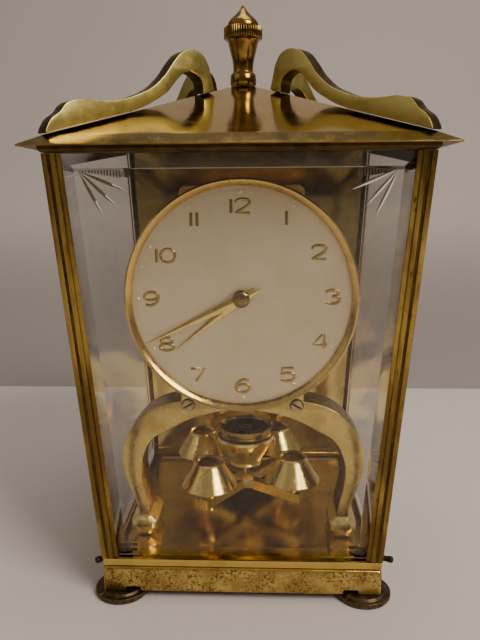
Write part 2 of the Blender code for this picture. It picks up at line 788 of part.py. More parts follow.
# Plinth and feet

def make_plinth():
    arc_points = arc((PLINTH_HALF - PLINTH_EDGE_RADIUS, PLINTH_TOP - PLINTH_EDGE_RADIUS),
                     PLINTH_EDGE_RADIUS, QUARTER, 0, 4)
    inner = PLINTH_HALF - PLINTH_WALL
    ceiling = PLINTH_TOP - PLINTH_WALL
    boss_bottom = ceiling - FOOT_BOSS_HEIGHT
    profile = ([(0, PLINTH_TOP)] + arc_points
               + [(PLINTH_HALF, PLINTH_BOTTOM), (inner, PLINTH_BOTTOM), (inner, ceiling), (0, ceiling)])
    plinth = add("plinth", square_turned(profile), "plinth_brass")
    for sx in (-1, 1):
        for sy in (-1, 1):
            place = (sx * FOOT_PLACE, sy * FOOT_PLACE)
            join(plinth, rod(FOOT_BOSS_RADIUS, (*place, boss_bottom), (*place, ceiling + BITE)))
            cut(plinth, rod(FOOT_STEM_RADIUS + GAP, (*place, boss_bottom - OVERRUN),
                            (*place, FOOT_STEM_TOP + GAP)))
        near, far = sorted((sx * NOTCH_NEAR, sx * NOTCH_FAR))
        cut(plinth, box((near, -PLINTH_HALF - OVERRUN, PLINTH_BOTTOM - OVERRUN),
                        (far, -PLINTH_HALF + PLINTH_WALL + OVERRUN, PLINTH_BOTTOM + NOTCH_HEIGHT)))
        join(plinth, lever_stud(sx))
    return plinth


def lever_stud(side):
    """The headed stud that a catch lever swings on, riveted into the plinth."""
    seat = PLINTH_TOP + GAP + 2 * LEVER_ROD_RADIUS + GAP
    top = seat + LEVER_STUD_HEAD_HEIGHT
    shank = LEVER_BORE - GAP
    root = PLINTH_TOP - PLINTH_WALL / 2
    edge = LEVER_STUD_HEAD_HEIGHT / 4
    profile = [(0, top), (LEVER_STUD_HEAD - edge, top), (LEVER_STUD_HEAD, top - edge),
               (LEVER_STUD_HEAD, seat), (shank, seat), (shank, root), (0, root)]
    return placed(turned(profile, STEPS_SCREW), Matrix.Translation((side * LEVER_PIVOT_X, LEVER_PIVOT_Y, 0)))


def make_foot(name, x, y):
    """A levelling disc whose stem runs up into a boss of the plinth."""
    low_edge = FOOT_RADIUS - FOOT_EDGE
    rim_top = FOOT_TOP - FOOT_STEP_HEIGHT
    profile = [(0, FOOT_STEM_TOP), (FOOT_STEM_RADIUS, FOOT_STEM_TOP), (FOOT_STEM_RADIUS, FOOT_TOP),
               (FOOT_STEP_RADIUS, FOOT_TOP), (FOOT_STEP_RADIUS + FOOT_EDGE, rim_top),
               (FOOT_RADIUS, rim_top), (FOOT_RADIUS, FOOT_EDGE), (low_edge, 0), (0, 0)]
    foot = add(name, turned(profile, STEPS_ROUND), "bronze")
    foot.location = (x, y, 0)
    return foot


def make_feet():
    for name, sx, sy in (("foot_front_left", -1, -1), ("foot_front_right", 1, -1),
                         ("foot_rear_left", -1, 1), ("foot_rear_right", 1, 1)):
        make_foot(name, sx * FOOT_PLACE, sy * FOOT_PLACE)


# Floor, catch levers and their screws

def lever_sweep():
    """How far forwards and backwards of its pivot the rod reaches at the rail's outer face."""
    run = case_half(RAIL_TOP) - LEVER_PIVOT_X
    reaches = []
    for turn in (LEVER_FORWARD, LEVER_LOCKED):
        reaches.append(run * abs(math.tan(turn)) + LEVER_ROD_RADIUS / math.cos(turn) + GAP)
    return reaches


def make_floor():
    back = LEVER_PIVOT_Y + lever_sweep()[1]
    half = FLOOR_HALF
    outline = [(-half, half), (-half, back), (-LEVER_POCKET_INNER, back), (-LEVER_POCKET_INNER, -half),
               (LEVER_POCKET_INNER, -half), (LEVER_POCKET_INNER, back), (half, back), (half, half)]
    bottom = PLINTH_TOP + GAP
    return add("floor_plate", level([outline], bottom, FLOOR_TOP - bottom), "brass")


def make_lever(name, side, rest):
    pivot = Vector((side * LEVER_PIVOT_X, LEVER_PIVOT_Y, 0))
    bottom = PLINTH_TOP + GAP
    top = bottom + 2 * LEVER_ROD_RADIUS
    hub = rod(LEVER_HUB_RADIUS, pivot + Vector((0, 0, bottom)), pivot + Vector((0, 0, top)), STEPS_ROUND)
    lever = hung(add(name, hub, "black_steel"), pivot)
    handle = Vector((side * math.cos(rest), -math.sin(rest), 0))
    axis_z = Vector((0, 0, bottom + LEVER_ROD_RADIUS))
    start = pivot + axis_z + handle * (LEVER_BORE + GAP)
    join(lever, rod(LEVER_ROD_RADIUS - BITE / 2, start, pivot + axis_z + handle * LEVER_REACH))
    turn = rest + LEVER_TONGUE_ANGLE
    tongue = box((LEVER_BORE, -LEVER_TONGUE_HALF_WIDTH, LEVER_TONGUE_BOTTOM),
                 (LEVER_TONGUE_REACH, LEVER_TONGUE_HALF_WIDTH, top - BITE))
    heading = math.atan2(-math.sin(turn), side * math.cos(turn))
    placed(tongue, Matrix.Translation(pivot) @ Matrix.Rotation(heading, 4, "Z"))
    join(lever, tongue)
    cut(lever, rod(LEVER_BORE, pivot + Vector((0, 0, bottom - OVERRUN)),
                   pivot + Vector((0, 0, top + OVERRUN))))
    return lever


# Case

def make_bottom_rail():
    wall_inner = case_half(RAIL_BOTTOM) - RAIL_WALL
    profile = [(wall_inner, RAIL_TOP), (case_half(RAIL_TOP), RAIL_TOP),
               (case_half(RAIL_BOTTOM), RAIL_BOTTOM), (RAIL_LIP_HALF, RAIL_BOTTOM),
               (RAIL_LIP_HALF, RAIL_LIP_TOP), (wall_inner, RAIL_LIP_TOP)]
    rail = add("bottom_rail", square_turned(profile, closed=True), "brass")
    forward, backward = lever_sweep()
    slot_top = PLINTH_TOP + GAP + 2 * LEVER_ROD_RADIUS + GAP
    for side in (-1, 1):
        near, far = sorted((side * (RAIL_LIP_HALF - OVERRUN), side * (case_half(RAIL_TOP) + OVERRUN)))
        cut(rail, box((near, LEVER_PIVOT_Y - forward, RAIL_BOTTOM - OVERRUN),
                      (far, LEVER_PIVOT_Y + backward, slot_top)))
    return rail


def post_section():
    """Half of the section, along one face; the other half swaps the two axes."""
    slope = POST_GROOVE_DEPTH / 2
    return [(POST_CORNER, 0), (POST_GROOVE_START, 0), (POST_GROOVE_START + slope, POST_GROOVE_DEPTH),
            (POST_GROOVE_END - slope, POST_GROOVE_DEPTH), (POST_GROOVE_END, 0), (POST_WIDTH, 0),
            (POST_WIDTH, POST_LIP_FRONT), (POST_WIDTH + POST_LIP_WIDTH, POST_LIP_FRONT),
            (POST_WIDTH + POST_LIP_WIDTH, POST_LIP_BACK), (POST_WIDTH, POST_LIP_BACK)]


def make_post(name, sx, sy):
    half = post_section()
    outline = half + [(POST_WIDTH, POST_WIDTH)] + [(v, u) for u, v in reversed(half)]
    height = PANE_TOP - PANE_BOTTOM
    mesh = level([[(-sx * u, -sy * v) for u, v in outline]], PANE_BOTTOM, height)
    lean = Matrix.Identity(4)
    lean[0][2] = sx * SLANT
    lean[1][2] = sy * SLANT
    reach = case_half(PANE_BOTTOM) - PANE_BOTTOM * SLANT
    placed(mesh, Matrix.Translation((sx * reach, sy * reach, 0)) @ lean)
    return add(name, mesh, "brass")


def wall_ring(side_inset, low, high, depth):
    """Four corners of a wall piece at one depth behind the front wall's outer plane."""
    ring = []
    for sign, z in ((-1, low), (1, low), (1, high), (-1, high)):
        ring.append((sign * (case_half(z) - side_inset), -(case_half(z) - depth), z))
    return ring


def make_pane(name, turn):
    edge = PANE_BACK - PANE_EDGE_THICKNESS
    inset = PANE_SIDE_INSET + PANE_BEVEL
    pane = loft([wall_ring(PANE_SIDE_INSET, PANE_BOTTOM, PANE_TOP, PANE_BACK),
                 wall_ring(PANE_SIDE_INSET, PANE_BOTTOM, PANE_TOP, edge),
                 wall_ring(inset, PANE_BOTTOM + PANE_BEVEL, PANE_TOP - PANE_BEVEL, PANE_FRONT)])
    return add(name, placed(pane, Matrix.Rotation(turn, 4, "Z")), "glass")


def make_rear_panel():
    turn = Matrix.Rotation(2 * QUARTER, 4, "Z")
    sheet = loft([wall_ring(PANE_SIDE_INSET, PANE_BOTTOM, PANE_TOP, REAR_SHEET_BACK),
                  wall_ring(PANE_SIDE_INSET, PANE_BOTTOM, PANE_TOP, PANE_FRONT)])
    sill_inset = PANE_SIDE_INSET + BITE
    sill = loft([wall_ring(sill_inset, PANE_BOTTOM + BITE, REAR_SILL_TOP, REAR_SHEET_BACK + REAR_SILL_DEPTH),
                 wall_ring(sill_inset, PANE_BOTTOM + BITE, REAR_SILL_TOP, REAR_SHEET_BACK - BITE)])
    return join(add("rear_panel", placed(sheet, turn), "brass"), placed(sill, turn))


def roof_underside(half):
    """Height of the roof's lower face at a half-width."""
    slope = (ROOF_APEX_Z - ROOF_KINK_Z) / (ROOF_KINK_HALF - ROOF_FLAT_HALF)
    if half > ROOF_KINK_HALF:
        slope = (ROOF_KINK_Z - EAVE_Z) / (EAVE_HALF - ROOF_KINK_HALF)
        return EAVE_Z + (EAVE_HALF - half) * slope - ROOF_THICKNESS
    return ROOF_KINK_Z + (ROOF_KINK_HALF - half) * slope - ROOF_THICKNESS


def make_top_rail():
    outer = CASE_HEAD_HALF + TOP_RAIL_PROUD
    top = roof_underside(outer) - GAP
    profile = [(TOP_RAIL_INNER_HALF, top), (outer, top), (outer, CASE_HEAD_Z + TOP_RAIL_CHAMFER),
               (outer - TOP_RAIL_CHAMFER, CASE_HEAD_Z), (TOP_RAIL_INNER_HALF, CASE_HEAD_Z)]
    return add("top_rail", square_turned(profile, closed=True), "brass")


def make_roof():
    flat_under = ROOF_APEX_Z - ROOF_THICKNESS
    profile = [(0, ROOF_APEX_Z), (ROOF_FLAT_HALF, ROOF_APEX_Z), (ROOF_KINK_HALF, ROOF_KINK_Z),
               (EAVE_HALF, EAVE_Z), (EAVE_HALF, EAVE_Z - EAVE_LIP),
               (EAVE_HALF - ROOF_THICKNESS, roof_underside(EAVE_HALF - ROOF_THICKNESS)),
               (ROOF_KINK_HALF, roof_underside(ROOF_KINK_HALF)), (ROOF_FLAT_HALF, flat_under), (0, flat_under)]
    roof = add("roof", square_turned(profile), "brass")
    return cut(roof, rod(FINIAL_STUD_RADIUS + GAP, (0, 0, flat_under - OVERRUN), (0, 0, ROOF_APEX_Z + OVERRUN)))


def make_finial():
    base = ROOF_APEX_Z + GAP
    stud_bottom = ROOF_APEX_Z - FINIAL_STUD_LENGTH
    flare = FINIAL_SHOULDER_RADIUS - FINIAL_NECK_RADIUS
    dome_shares = ((0.0, 1.0), (0.101, 0.891), (0.146, 0.752), (0.360, 0.535), (0.652, 0.317),
                   (0.854, 0.099), (0.888, 0.020))
    flare_shares = ((0.86, 0.88), (0.62, 0.68), (0.28, 0.40), (0.06, 0.16))
    profile = [(r * FINIAL_BAND_RADIUS, FINIAL_BAND_TOP + h * FINIAL_TOP_HEIGHT) for r, h in dome_shares]
    profile += [(FINIAL_BAND_RADIUS, FINIAL_BAND_TOP), (FINIAL_BAND_RADIUS, FINIAL_BAND_BOTTOM),
                (FINIAL_SHOULDER_RADIUS, FINIAL_BAND_BOTTOM)]
    profile += [(FINIAL_NECK_RADIUS + r * flare, FINIAL_NECK_TOP + h * FINIAL_SHOULDER_HEIGHT) for r, h in flare_shares]
    bead = FINIAL_COLLAR_RADIUS - FINIAL_NECK_RADIUS
    profile += [(FINIAL_NECK_RADIUS, FINIAL_NECK_TOP), (FINIAL_NECK_RADIUS, FINIAL_COLLAR_TOP + bead),
                (FINIAL_COLLAR_RADIUS, FINIAL_COLLAR_TOP), (FINIAL_COLLAR_RADIUS, base + bead / 2),
                (FINIAL_COLLAR_RADIUS - bead / 2, base), (FINIAL_STUD_RADIUS, base),
                (FINIAL_STUD_RADIUS, stud_bottom), (0, stud_bottom)]
    return add("finial", turned(profile, STEPS_ROUND), "brass")


def hip_z(run):
    """Height of the roof's hip at a distance from the axis, along the diagonal."""
    half = run / HIP
    return roof_underside(half) + ROOF_THICKNESS


def bracket_outline():
    """Swan neck on a hip as (distance from the axis, height), run over by eye from the photograph."""
    reach = EAVE_HALF * HIP
    rise = FINIAL_BAND_BOTTOM - EAVE_Z
    crest_shares = ((0.903, 0.089), (0.897, 0.127), (0.879, 0.187), (0.847, 0.239), (0.821, 0.303),
                    (0.772, 0.337), (0.697, 0.341), (0.611, 0.366), (0.539, 0.420), (0.478, 0.484),
                    (0.422, 0.586), (0.386, 0.682), (0.345, 0.776), (0.294, 0.821), (0.242, 0.802),
                    (0.212, 0.728), (0.197, 0.628), (0.183, 0.518))
    under_shares = ((0.239, 0.501), (0.242, 0.568), (0.260, 0.618), (0.300, 0.649), (0.336, 0.620),
                    (0.366, 0.563), (0.410, 0.464), (0.460, 0.395), (0.508, 0.339), (0.570, 0.285))
    crest = [(reach * r, EAVE_Z + rise * h) for r, h in crest_shares]
    under = [(reach * r, EAVE_Z + rise * h) for r, h in under_shares]
    crest[-1] = (crest[-1][0], hip_z(crest[-1][0]) + GAP)
    under[0] = (under[0][0], hip_z(under[0][0]) + GAP)
    heel = BRACKET_HEEL_SHARE * reach
    toe = crest[0][0] - BRACKET_EDGE
    kink = ROOF_KINK_HALF * HIP
    base = [heel] + ([kink] if heel < kink < toe else []) + [toe]
    return crest + under + [(r, hip_z(r) + GAP) for r in base]


def make_bracket(name, azimuth):
    plate = upright([bracket_outline()], -BRACKET_THICKNESS / 2, BRACKET_THICKNESS, BRACKET_EDGE)
    return add(name, placed(plate, Matrix.Rotation(azimuth, 4, "Z")), "cast_brass")


def make_case():
    make_bottom_rail()
    for name, sx, sy in (("post_front_left", -1, -1), ("post_front_right", 1, -1),
                         ("post_rear_left", -1, 1), ("post_rear_right", 1, 1)):
        make_post(name, sx, sy)
    make_pane("glass_front", 0)
    make_pane("glass_right", QUARTER)
    make_pane("glass_left", -QUARTER)
    make_rear_panel()
    make_top_rail()
    make_roof()
    make_finial()
    for name, quarter in (("bracket_rear_right", 0), ("bracket_rear_left", 1),
                          ("bracket_front_left", 2), ("bracket_front_right", 3)):
        make_bracket(name, QUARTER / 2 + quarter * QUARTER)


# Arch, plates and pillars

def arch_half_outline():
    """Right half of the horseshoe, from the pad's top edge out and down, then up the inner side."""
    foot_z = FLOOR_TOP + GAP
    span = ARCH_FOOT_X
    rise = ARCH_SCREW_Z - foot_z
    outer_shares = ((0.609, 1.028), (0.768, 1.000), (0.906, 0.954), (1.013, 0.891), (1.106, 0.810),
                    (1.168, 0.722), (1.194, 0.633), (1.196, 0.545), (1.174, 0.459), (1.132, 0.361),
                    (1.089, 0.284), (1.057, 0.192), (1.053, 0.080))
    inner_shares = ((0.947, 0.080), (0.945, 0.192), (0.962, 0.267), (0.991, 0.356), (1.013, 0.461),
                    (1.011, 0.544), (0.985, 0.616), (0.943, 0.691), (0.870, 0.753), (0.713, 0.817),
                    (0.583, 0.869), (0.417, 0.916), (0.210, 0.950), (0.0, 0.962))
    outer = [(span * x, foot_z + rise * z) for x, z in outer_shares]
    inner = [(span * x, foot_z + rise * z) for x, z in inner_shares]
    outer[0] = (ARCH_PAD_HALF, outer[0][1])
    return [(0, ARCH_PAD_TOP), (ARCH_PAD_HALF, ARCH_PAD_TOP)] + outer + inner


def arch_foot(x):
    """An eight-sided boss with a chamfered front, running front to back under the arch."""
    front = ARCH_FRONT - ARCH_FOOT_PROUD
    rings = []
    for y, inset in ((front, ARCH_FOOT_CHAMFER), (front + ARCH_FOOT_CHAMFER, 0),
                     (ARCH_BACK + ARCH_FOOT_PROUD, 0)):
        bottom = FLOOR_TOP + GAP
        half = ARCH_FOOT_HALF - inset
        low, high = bottom + inset, ARCH_FOOT_TOP - inset
        corner = ARCH_FOOT_CORNER
        rings.append([(x + u, y, z) for u, z in (
            (-half + corner, low), (half - corner, low), (half, low + corner), (half, high - corner),
            (half - corner, high), (-half + corner, high), (-half, high - corner), (-half, low + corner))])
    return loft(rings)


def make_arch():
    right = arch_half_outline()
    left = [(-x, z) for x, z in reversed(right) if x > 0]
    body = upright([right + left], ARCH_FRONT, ARCH_BACK - ARCH_FRONT, ARCH_EDGE)
    arch = add("movement_arch", body, "cast_brass")
    cut(arch, box((-ARCH_POCKET_HALF, ARCH_PAD_BACK, ARCH_SCREW_Z - ARCH_PAD_TOP / 3),
                  (ARCH_POCKET_HALF, ARCH_BACK + OVERRUN, ARCH_PAD_TOP + OVERRUN)))
    for side in (-1, 1):
        join(arch, arch_foot(side * ARCH_FOOT_X))
        cut(arch, rod(ARCH_SCREW_SHANK + GAP, (side * ARCH_SCREW_X, ARCH_FRONT - OVERRUN, ARCH_SCREW_Z),
                      (side * ARCH_SCREW_X, ARCH_PAD_BACK + OVERRUN, ARCH_SCREW_Z)))
    return arch


def make_arch_screw(name, side):
    """A cheese-head screw through the arch and front plate into a pillar."""
    seat = ARCH_FRONT - GAP
    end = FRONT_PLATE_BACK + ARCH_SCREW_GRIP
    top = seat - ARCH_SCREW_HEAD_HEIGHT
    edge = ARCH_SCREW_HEAD_HEIGHT / 4
    x = side * ARCH_SCREW_X
    profile = [(0, top), (ARCH_SCREW_HEAD - edge, top), (ARCH_SCREW_HEAD, top + edge),
               (ARCH_SCREW_HEAD, seat), (ARCH_SCREW_SHANK, seat), (ARCH_SCREW_SHANK, end), (0, end)]
    screw = add(name, turned_y(profile, STEPS_SCREW, x, ARCH_SCREW_Z), "steel")
    slot_half = SCREW_SLOT_WIDTH / 2
    return cut(screw, box((x - ARCH_SCREW_HEAD - OVERRUN, top - OVERRUN, ARCH_SCREW_Z - slot_half),
                          (x + ARCH_SCREW_HEAD + OVERRUN, top + SCREW_SLOT_DEPTH, ARCH_SCREW_Z + slot_half)))


def pivot_holes():
    return [circle(place, PIVOT_RADIUS + GAP) for place in ARBORS]


def dial_foot_places():
    side = PLATE_HALF * DIAL_FOOT_SIDE_SHARE
    return ((-side, DIAL_Z + PLATE_HALF), (side, DIAL_Z + PLATE_HALF),
            (PLATE_HALF * DIAL_FOOT_LOW_SHARE, ARCH_PAD_TOP + 2 * DIAL_FOOT_RADIUS))


def make_front_plate():
    holes = pivot_holes()
    holes.append(circle(CENTRE, CENTRE_ARBOR_RADIUS + GAP))
    holes.append(circle(BARREL, WINDING_PIVOT + GAP))
    holes += [circle(place, DIAL_FOOT_RADIUS + GAP) for place in dial_foot_places()]
    holes += [circle(place, ARCH_SCREW_SHANK + GAP) for place in PILLARS[:2]]
    holes += [circle(place, PILLAR_TENON + GAP) for place in PILLARS[2:]]
    outline = rounded_rectangle(PLATE_HALF, PLATE_BOTTOM, PLATE_TOP, PLATE_CORNER)
    plate = add("front_plate", upright([outline] + holes, FRONT_PLATE_FRONT, PLATE_THICKNESS), "brass")
    x, z = MINUTE_STUD
    stud = rod(MINUTE_STUD_RADIUS, (x, hour_wheel_front() - GAP, z), (x, FRONT_PLATE_FRONT + BITE * 2, z))
    return join(plate, stud)


def make_back_plate():
    """The rear plate with its four riveted pillars and the stud for the click."""
    holes = pivot_holes()
    holes[-1] = circle(ANCHOR, ARBOR_RADIUS + GAP)
    holes.append(circle(CENTRE, PIVOT_RADIUS + GAP))
    holes.append(circle(BARREL, WINDING_RADIUS + GAP))
    outline = rounded_rectangle(PLATE_HALF, PLATE_BOTTOM, PLATE_TOP, PLATE_CORNER)
    plate = add("back_plate", upright([outline] + holes, BACK_PLATE_FRONT, PLATE_THICKNESS), "brass")
    for place in PILLARS:
        join(plate, pillar(place))
    x, z = CLICK_PIVOT
    return join(plate, rod(CLICK_BORE - GAP, (x, BACK_PLATE_FRONT + BITE, z),
                           (x, RATCHET_FRONT + RATCHET_THICKNESS, z)))


def pillar(place):
    """Lower pillars are bored for the arch screws, upper ones end in a tenon in the front plate."""
    front = FRONT_PLATE_BACK + GAP
    root = BACK_PLATE_BACK - BITE
    if place[1] < CENTRE[1]:
        depth = FRONT_PLATE_BACK + ARCH_SCREW_GRIP + GAP
        bore = ARCH_SCREW_SHANK + GAP
        head = [(0, depth), (bore, depth), (bore, front)]
    else:
        head = [(0, FRONT_PLATE_FRONT), (PILLAR_TENON, FRONT_PLATE_FRONT), (PILLAR_TENON, front)]
    return turned_y(head + [(PILLAR_RADIUS, front), (PILLAR_RADIUS, root), (0, root)], STEPS_SCREW, *place)


# Wheel train

def phase_to(own, other):
    """A tooth of the wheel points at the other arbor."""
    return bearing(own, other)


def phase_gap(own, other, teeth):
    """A space of the pinion faces the other arbor."""
    return bearing(own, other) + math.pi / teeth


def arbor(place, front, back, radius=ARBOR_RADIUS):
    """Arbor with a pivot at each end that runs in the plates."""
    profile = [(0, FRONT_PLATE_FRONT), (PIVOT_RADIUS, FRONT_PLATE_FRONT), (PIVOT_RADIUS, front),
               (radius, front), (radius, back), (PIVOT_RADIUS, back), (PIVOT_RADIUS, BACK_PLATE_BACK),
               (0, BACK_PLATE_BACK)]
    return turned_y(profile, STEPS_SMALL, *place)


def crossed_wheel(place, teeth, module, phase, front, thickness, hub, arms=4):
    pitch = teeth * module / 2
    rim = pitch - (WHEEL_DEDENDUM_SHARE + 1) * module
    arm = hub * WHEEL_ARM_SHARE
    outlines = [toothed(place, teeth, module, phase)]
    outlines += crossings(place, hub, rim, arms, arm, phase)
    return upright(outlines, front, thickness)


def geared(name, mesh, place, kind="brass"):
    """A piece that turns about the front-to-back axis through a place in the movement."""
    return hung(add(name, mesh, kind), (place[0], 0, place[1]))


def make_train_arbor(name, place, wheel, pinion):
    """A wheel, its pinion and the arbor that carries them."""
    front = FRONT_PLATE_BACK + GAP
    back = BACK_PLATE_FRONT - GAP
    return join(geared(name, wheel, place), pinion, arbor(place, front, back))


def make_second_wheel():
    wheel = crossed_wheel(SECOND, SECOND_TEETH, SECOND_MODULE, phase_to(SECOND, THIRD),
                          behind_front(SECOND_WHEEL_DEPTH), WHEEL_THICKNESS, ARBOR_RADIUS * 4)
    leaves = toothed(SECOND, SECOND_PINION, BARREL_MODULE,
                     phase_gap(SECOND, BARREL, SECOND_PINION), True)
    pinion = upright([leaves], behind_front(SECOND_PINION_DEPTH), PINION_LENGTH)
    return make_train_arbor("second_wheel", SECOND, wheel, pinion)


def make_third_wheel():
    wheel = crossed_wheel(THIRD, THIRD_TEETH, THIRD_MODULE, phase_to(THIRD, CENTRE),
                          behind_front(THIRD_WHEEL_DEPTH), WHEEL_THICKNESS, ARBOR_RADIUS * 4)
    leaves = toothed(THIRD, THIRD_PINION, SECOND_MODULE, phase_gap(THIRD, SECOND, THIRD_PINION), True)
    pinion = upright([leaves], behind_front(THIRD_PINION_DEPTH), PINION_LENGTH)
    return make_train_arbor("third_wheel", THIRD, wheel, pinion)


def make_centre_arbor():
    wheel = crossed_wheel(CENTRE, CENTRE_TEETH, CENTRE_MODULE, phase_to(CENTRE, FOURTH),
                          behind_front(CENTRE_WHEEL_DEPTH), WHEEL_THICKNESS, ARBOR_RADIUS * 4)
    leaves = toothed(CENTRE, CENTRE_PINION, THIRD_MODULE, phase_gap(CENTRE, THIRD, CENTRE_PINION), True)
    pinion = upright([leaves], behind_front(CENTRE_PINION_DEPTH), PINION_LENGTH)
    back = BACK_PLATE_FRONT - GAP
    tip = MINUTE_HAND_Y - HAND_THICKNESS - HAND_RIDGE
    profile = [(0, tip), (CENTRE_ARBOR_RADIUS, tip), (CENTRE_ARBOR_RADIUS, back), (PIVOT_RADIUS, back),
               (PIVOT_RADIUS, BACK_PLATE_BACK), (0, BACK_PLATE_BACK)]
    return join(geared("centre_arbor", wheel, CENTRE), pinion, turned_y(profile, STEPS_SMALL, *CENTRE))


def make_fourth_wheel():
    wheel = crossed_wheel(FOURTH, FOURTH_TEETH, FOURTH_MODULE, phase_to(FOURTH, ESCAPE),
                          behind_front(FOURTH_WHEEL_DEPTH), WHEEL_THICKNESS, ARBOR_RADIUS * 3)
    leaves = toothed(FOURTH, FOURTH_PINION, CENTRE_MODULE,
                     phase_gap(FOURTH, CENTRE, FOURTH_PINION), True)
    pinion = upright([leaves], behind_front(FOURTH_PINION_DEPTH), PINION_LENGTH)
    return make_train_arbor("fourth_wheel", FOURTH, wheel, pinion)


def make_escape_wheel():
    outlines = [saw_toothed(ESCAPE, ESCAPE_TEETH, ESCAPE_RADIUS, ESCAPE_ROOT, QUARTER,
                             ESCAPE_LEAN_SHARE)]
    outlines += crossings(ESCAPE, ARBOR_RADIUS * 2.5, ESCAPE_ROOT - ARBOR_RADIUS, 4, ARBOR_RADIUS, 0)
    wheel = upright(outlines, behind_front(ESCAPE_WHEEL_DEPTH), WHEEL_THICKNESS)
    leaves = toothed(ESCAPE, ESCAPE_PINION, FOURTH_MODULE,
                     phase_gap(ESCAPE, FOURTH, ESCAPE_PINION), True)
    pinion = upright([leaves], behind_front(ESCAPE_PINION_DEPTH), PINION_LENGTH)
    return make_train_arbor("escape_wheel", ESCAPE, wheel, pinion)


def make_anchor():
    near = ESCAPE_RADIUS + PALLET_CLEARANCE
    inner = near + PALLET_RELIEF
    outer = inner + PALLET_BODY
    start = QUARTER - PALLET_SPAN / 2
    end = QUARTER + PALLET_SPAN / 2
    nib = PALLET_BODY / outer * PALLET_NIB_SHARE
    outline = (arc(ESCAPE, outer, start, end, 8) + [along(ESCAPE, end, near), along(ESCAPE, end - nib, near)]
               + arc(ESCAPE, inner, end - nib, start + nib, 7)
               + [along(ESCAPE, start + nib, near), along(ESCAPE, start, near)])
    middle = behind_front(ESCAPE_WHEEL_DEPTH) + WHEEL_THICKNESS / 2
    front = middle - ANCHOR_THICKNESS / 2
    anchor = geared("anchor", upright([outline], front, ANCHOR_THICKNESS), ANCHOR, "steel")
    x, z = ANCHOR
    pin_y = PENDULUM_Y - ANCHOR_PIN_REACH
    pin_end = pin_y + ANCHOR_PIN_RADIUS
    shoulder = FRONT_PLATE_BACK + GAP
    profile = [(0, FRONT_PLATE_FRONT), (PIVOT_RADIUS, FRONT_PLATE_FRONT), (PIVOT_RADIUS, shoulder),
               (ARBOR_RADIUS, shoulder), (ARBOR_RADIUS, front - BITE), (ANCHOR_HUB_RADIUS, front - BITE),
               (ANCHOR_HUB_RADIUS, front + ANCHOR_THICKNESS + BITE),
               (ARBOR_RADIUS, front + ANCHOR_THICKNESS + BITE), (ARBOR_RADIUS, pin_end), (0, pin_end)]
    join(anchor, turned_y(profile, STEPS_SMALL, x, z))
    join(anchor, rod(ANCHOR_PIN_RADIUS, (x, pin_y, z), (x, pin_y, ANCHOR_PIN_TOP)))
    return anchor


# Barrel and winding

def make_barrel():
    """A closed drum with the great wheel round its back."""
    great_back = DRUM_BACK + GREAT_WHEEL_THICKNESS
    hole = WINDING_RADIUS + GAP
    profile = [(hole, DRUM_FRONT), (DRUM_RADIUS - DRUM_EDGE, DRUM_FRONT), (DRUM_RADIUS, DRUM_FRONT + DRUM_EDGE),
               (DRUM_RADIUS, DRUM_BACK + BITE), (hole, DRUM_BACK + BITE)]
    drum = turned_y(profile, STEPS_TURNED, *BARREL, closed=True)
    teeth = toothed(BARREL, BARREL_TEETH, BARREL_MODULE, phase_to(BARREL, SECOND))
    wheel = upright([teeth, circle(BARREL, hole + GAP)], DRUM_BACK, great_back - DRUM_BACK)
    return join(geared("barrel", wheel, BARREL), drum)


def make_winding_arbor():
    x, z = BARREL
    shoulder = FRONT_PLATE_BACK + GAP
    square_start = RATCHET_FRONT - GAP
    profile = [(0, FRONT_PLATE_FRONT), (WINDING_PIVOT, FRONT_PLATE_FRONT), (WINDING_PIVOT, shoulder),
               (WINDING_RADIUS, shoulder), (WINDING_RADIUS, square_start), (0, square_start)]
    winding = geared("winding_arbor", turned_y(profile, STEPS_SCREW, x, z), BARREL, "steel")
    half = WINDING_SQUARE_HALF
    end = BACK_PLATE_BACK + WINDING_REACH
    return join(winding, box((x - half, square_start - OVERRUN, z - half), (x + half, end, z + half)))


def make_ratchet_wheel():
    x, z = BARREL
    half = WINDING_SQUARE_HALF + GAP
    square = [(x - half, z - half), (x + half, z - half), (x + half, z + half), (x - half, z + half)]
    teeth = saw_toothed(BARREL, RATCHET_TEETH, RATCHET_RADIUS, RATCHET_ROOT, 0, RATCHET_LEAN_SHARE)
    return geared("ratchet_wheel", upright([teeth, square], RATCHET_FRONT, RATCHET_THICKNESS), BARREL, "steel")


def make_click():
    pivot = CLICK_PIVOT
    heading = bearing(pivot, BARREL)
    reach = math.dist(pivot, BARREL) - RATCHET_RADIUS - GAP
    side = heading + QUARTER
    tip = along(pivot, heading, reach)
    turn = heading + 2 * QUARTER
    head = arc(pivot, CLICK_HALF_WIDTH * CLICK_HEAD_SHARE, turn - CLICK_HEAD_OPENING / 2,
               turn + CLICK_HEAD_OPENING / 2, 7)
    nose = [along(tip, side, -CLICK_HALF_WIDTH), along(tip, side, CLICK_HALF_WIDTH / 2)]
    mesh = upright([head + nose, circle(pivot, CLICK_BORE)], RATCHET_FRONT, RATCHET_THICKNESS)
    return geared("click", mesh, pivot, "steel")


# Motion work, dial and hands

def make_cannon_pinion():
    teeth = toothed(CENTRE, CANNON_TEETH, MOTION_MODULE,
                    phase_gap(CENTRE, MINUTE_STUD, CANNON_TEETH), True)
    gear = upright([teeth, circle(CENTRE, CANNON_BORE + GAP)], cannon_gear_front(), MOTION_THICKNESS)
    front = MINUTE_HAND_Y + GAP
    back = cannon_gear_front() + MOTION_THICKNESS - BITE
    profile = [(CANNON_BORE, front), (CANNON_RADIUS, front), (CANNON_RADIUS, back), (CANNON_BORE, back)]
    return join(geared("cannon_pinion", gear, CENTRE), turned_y(profile, STEPS_BORE, *CENTRE, closed=True))


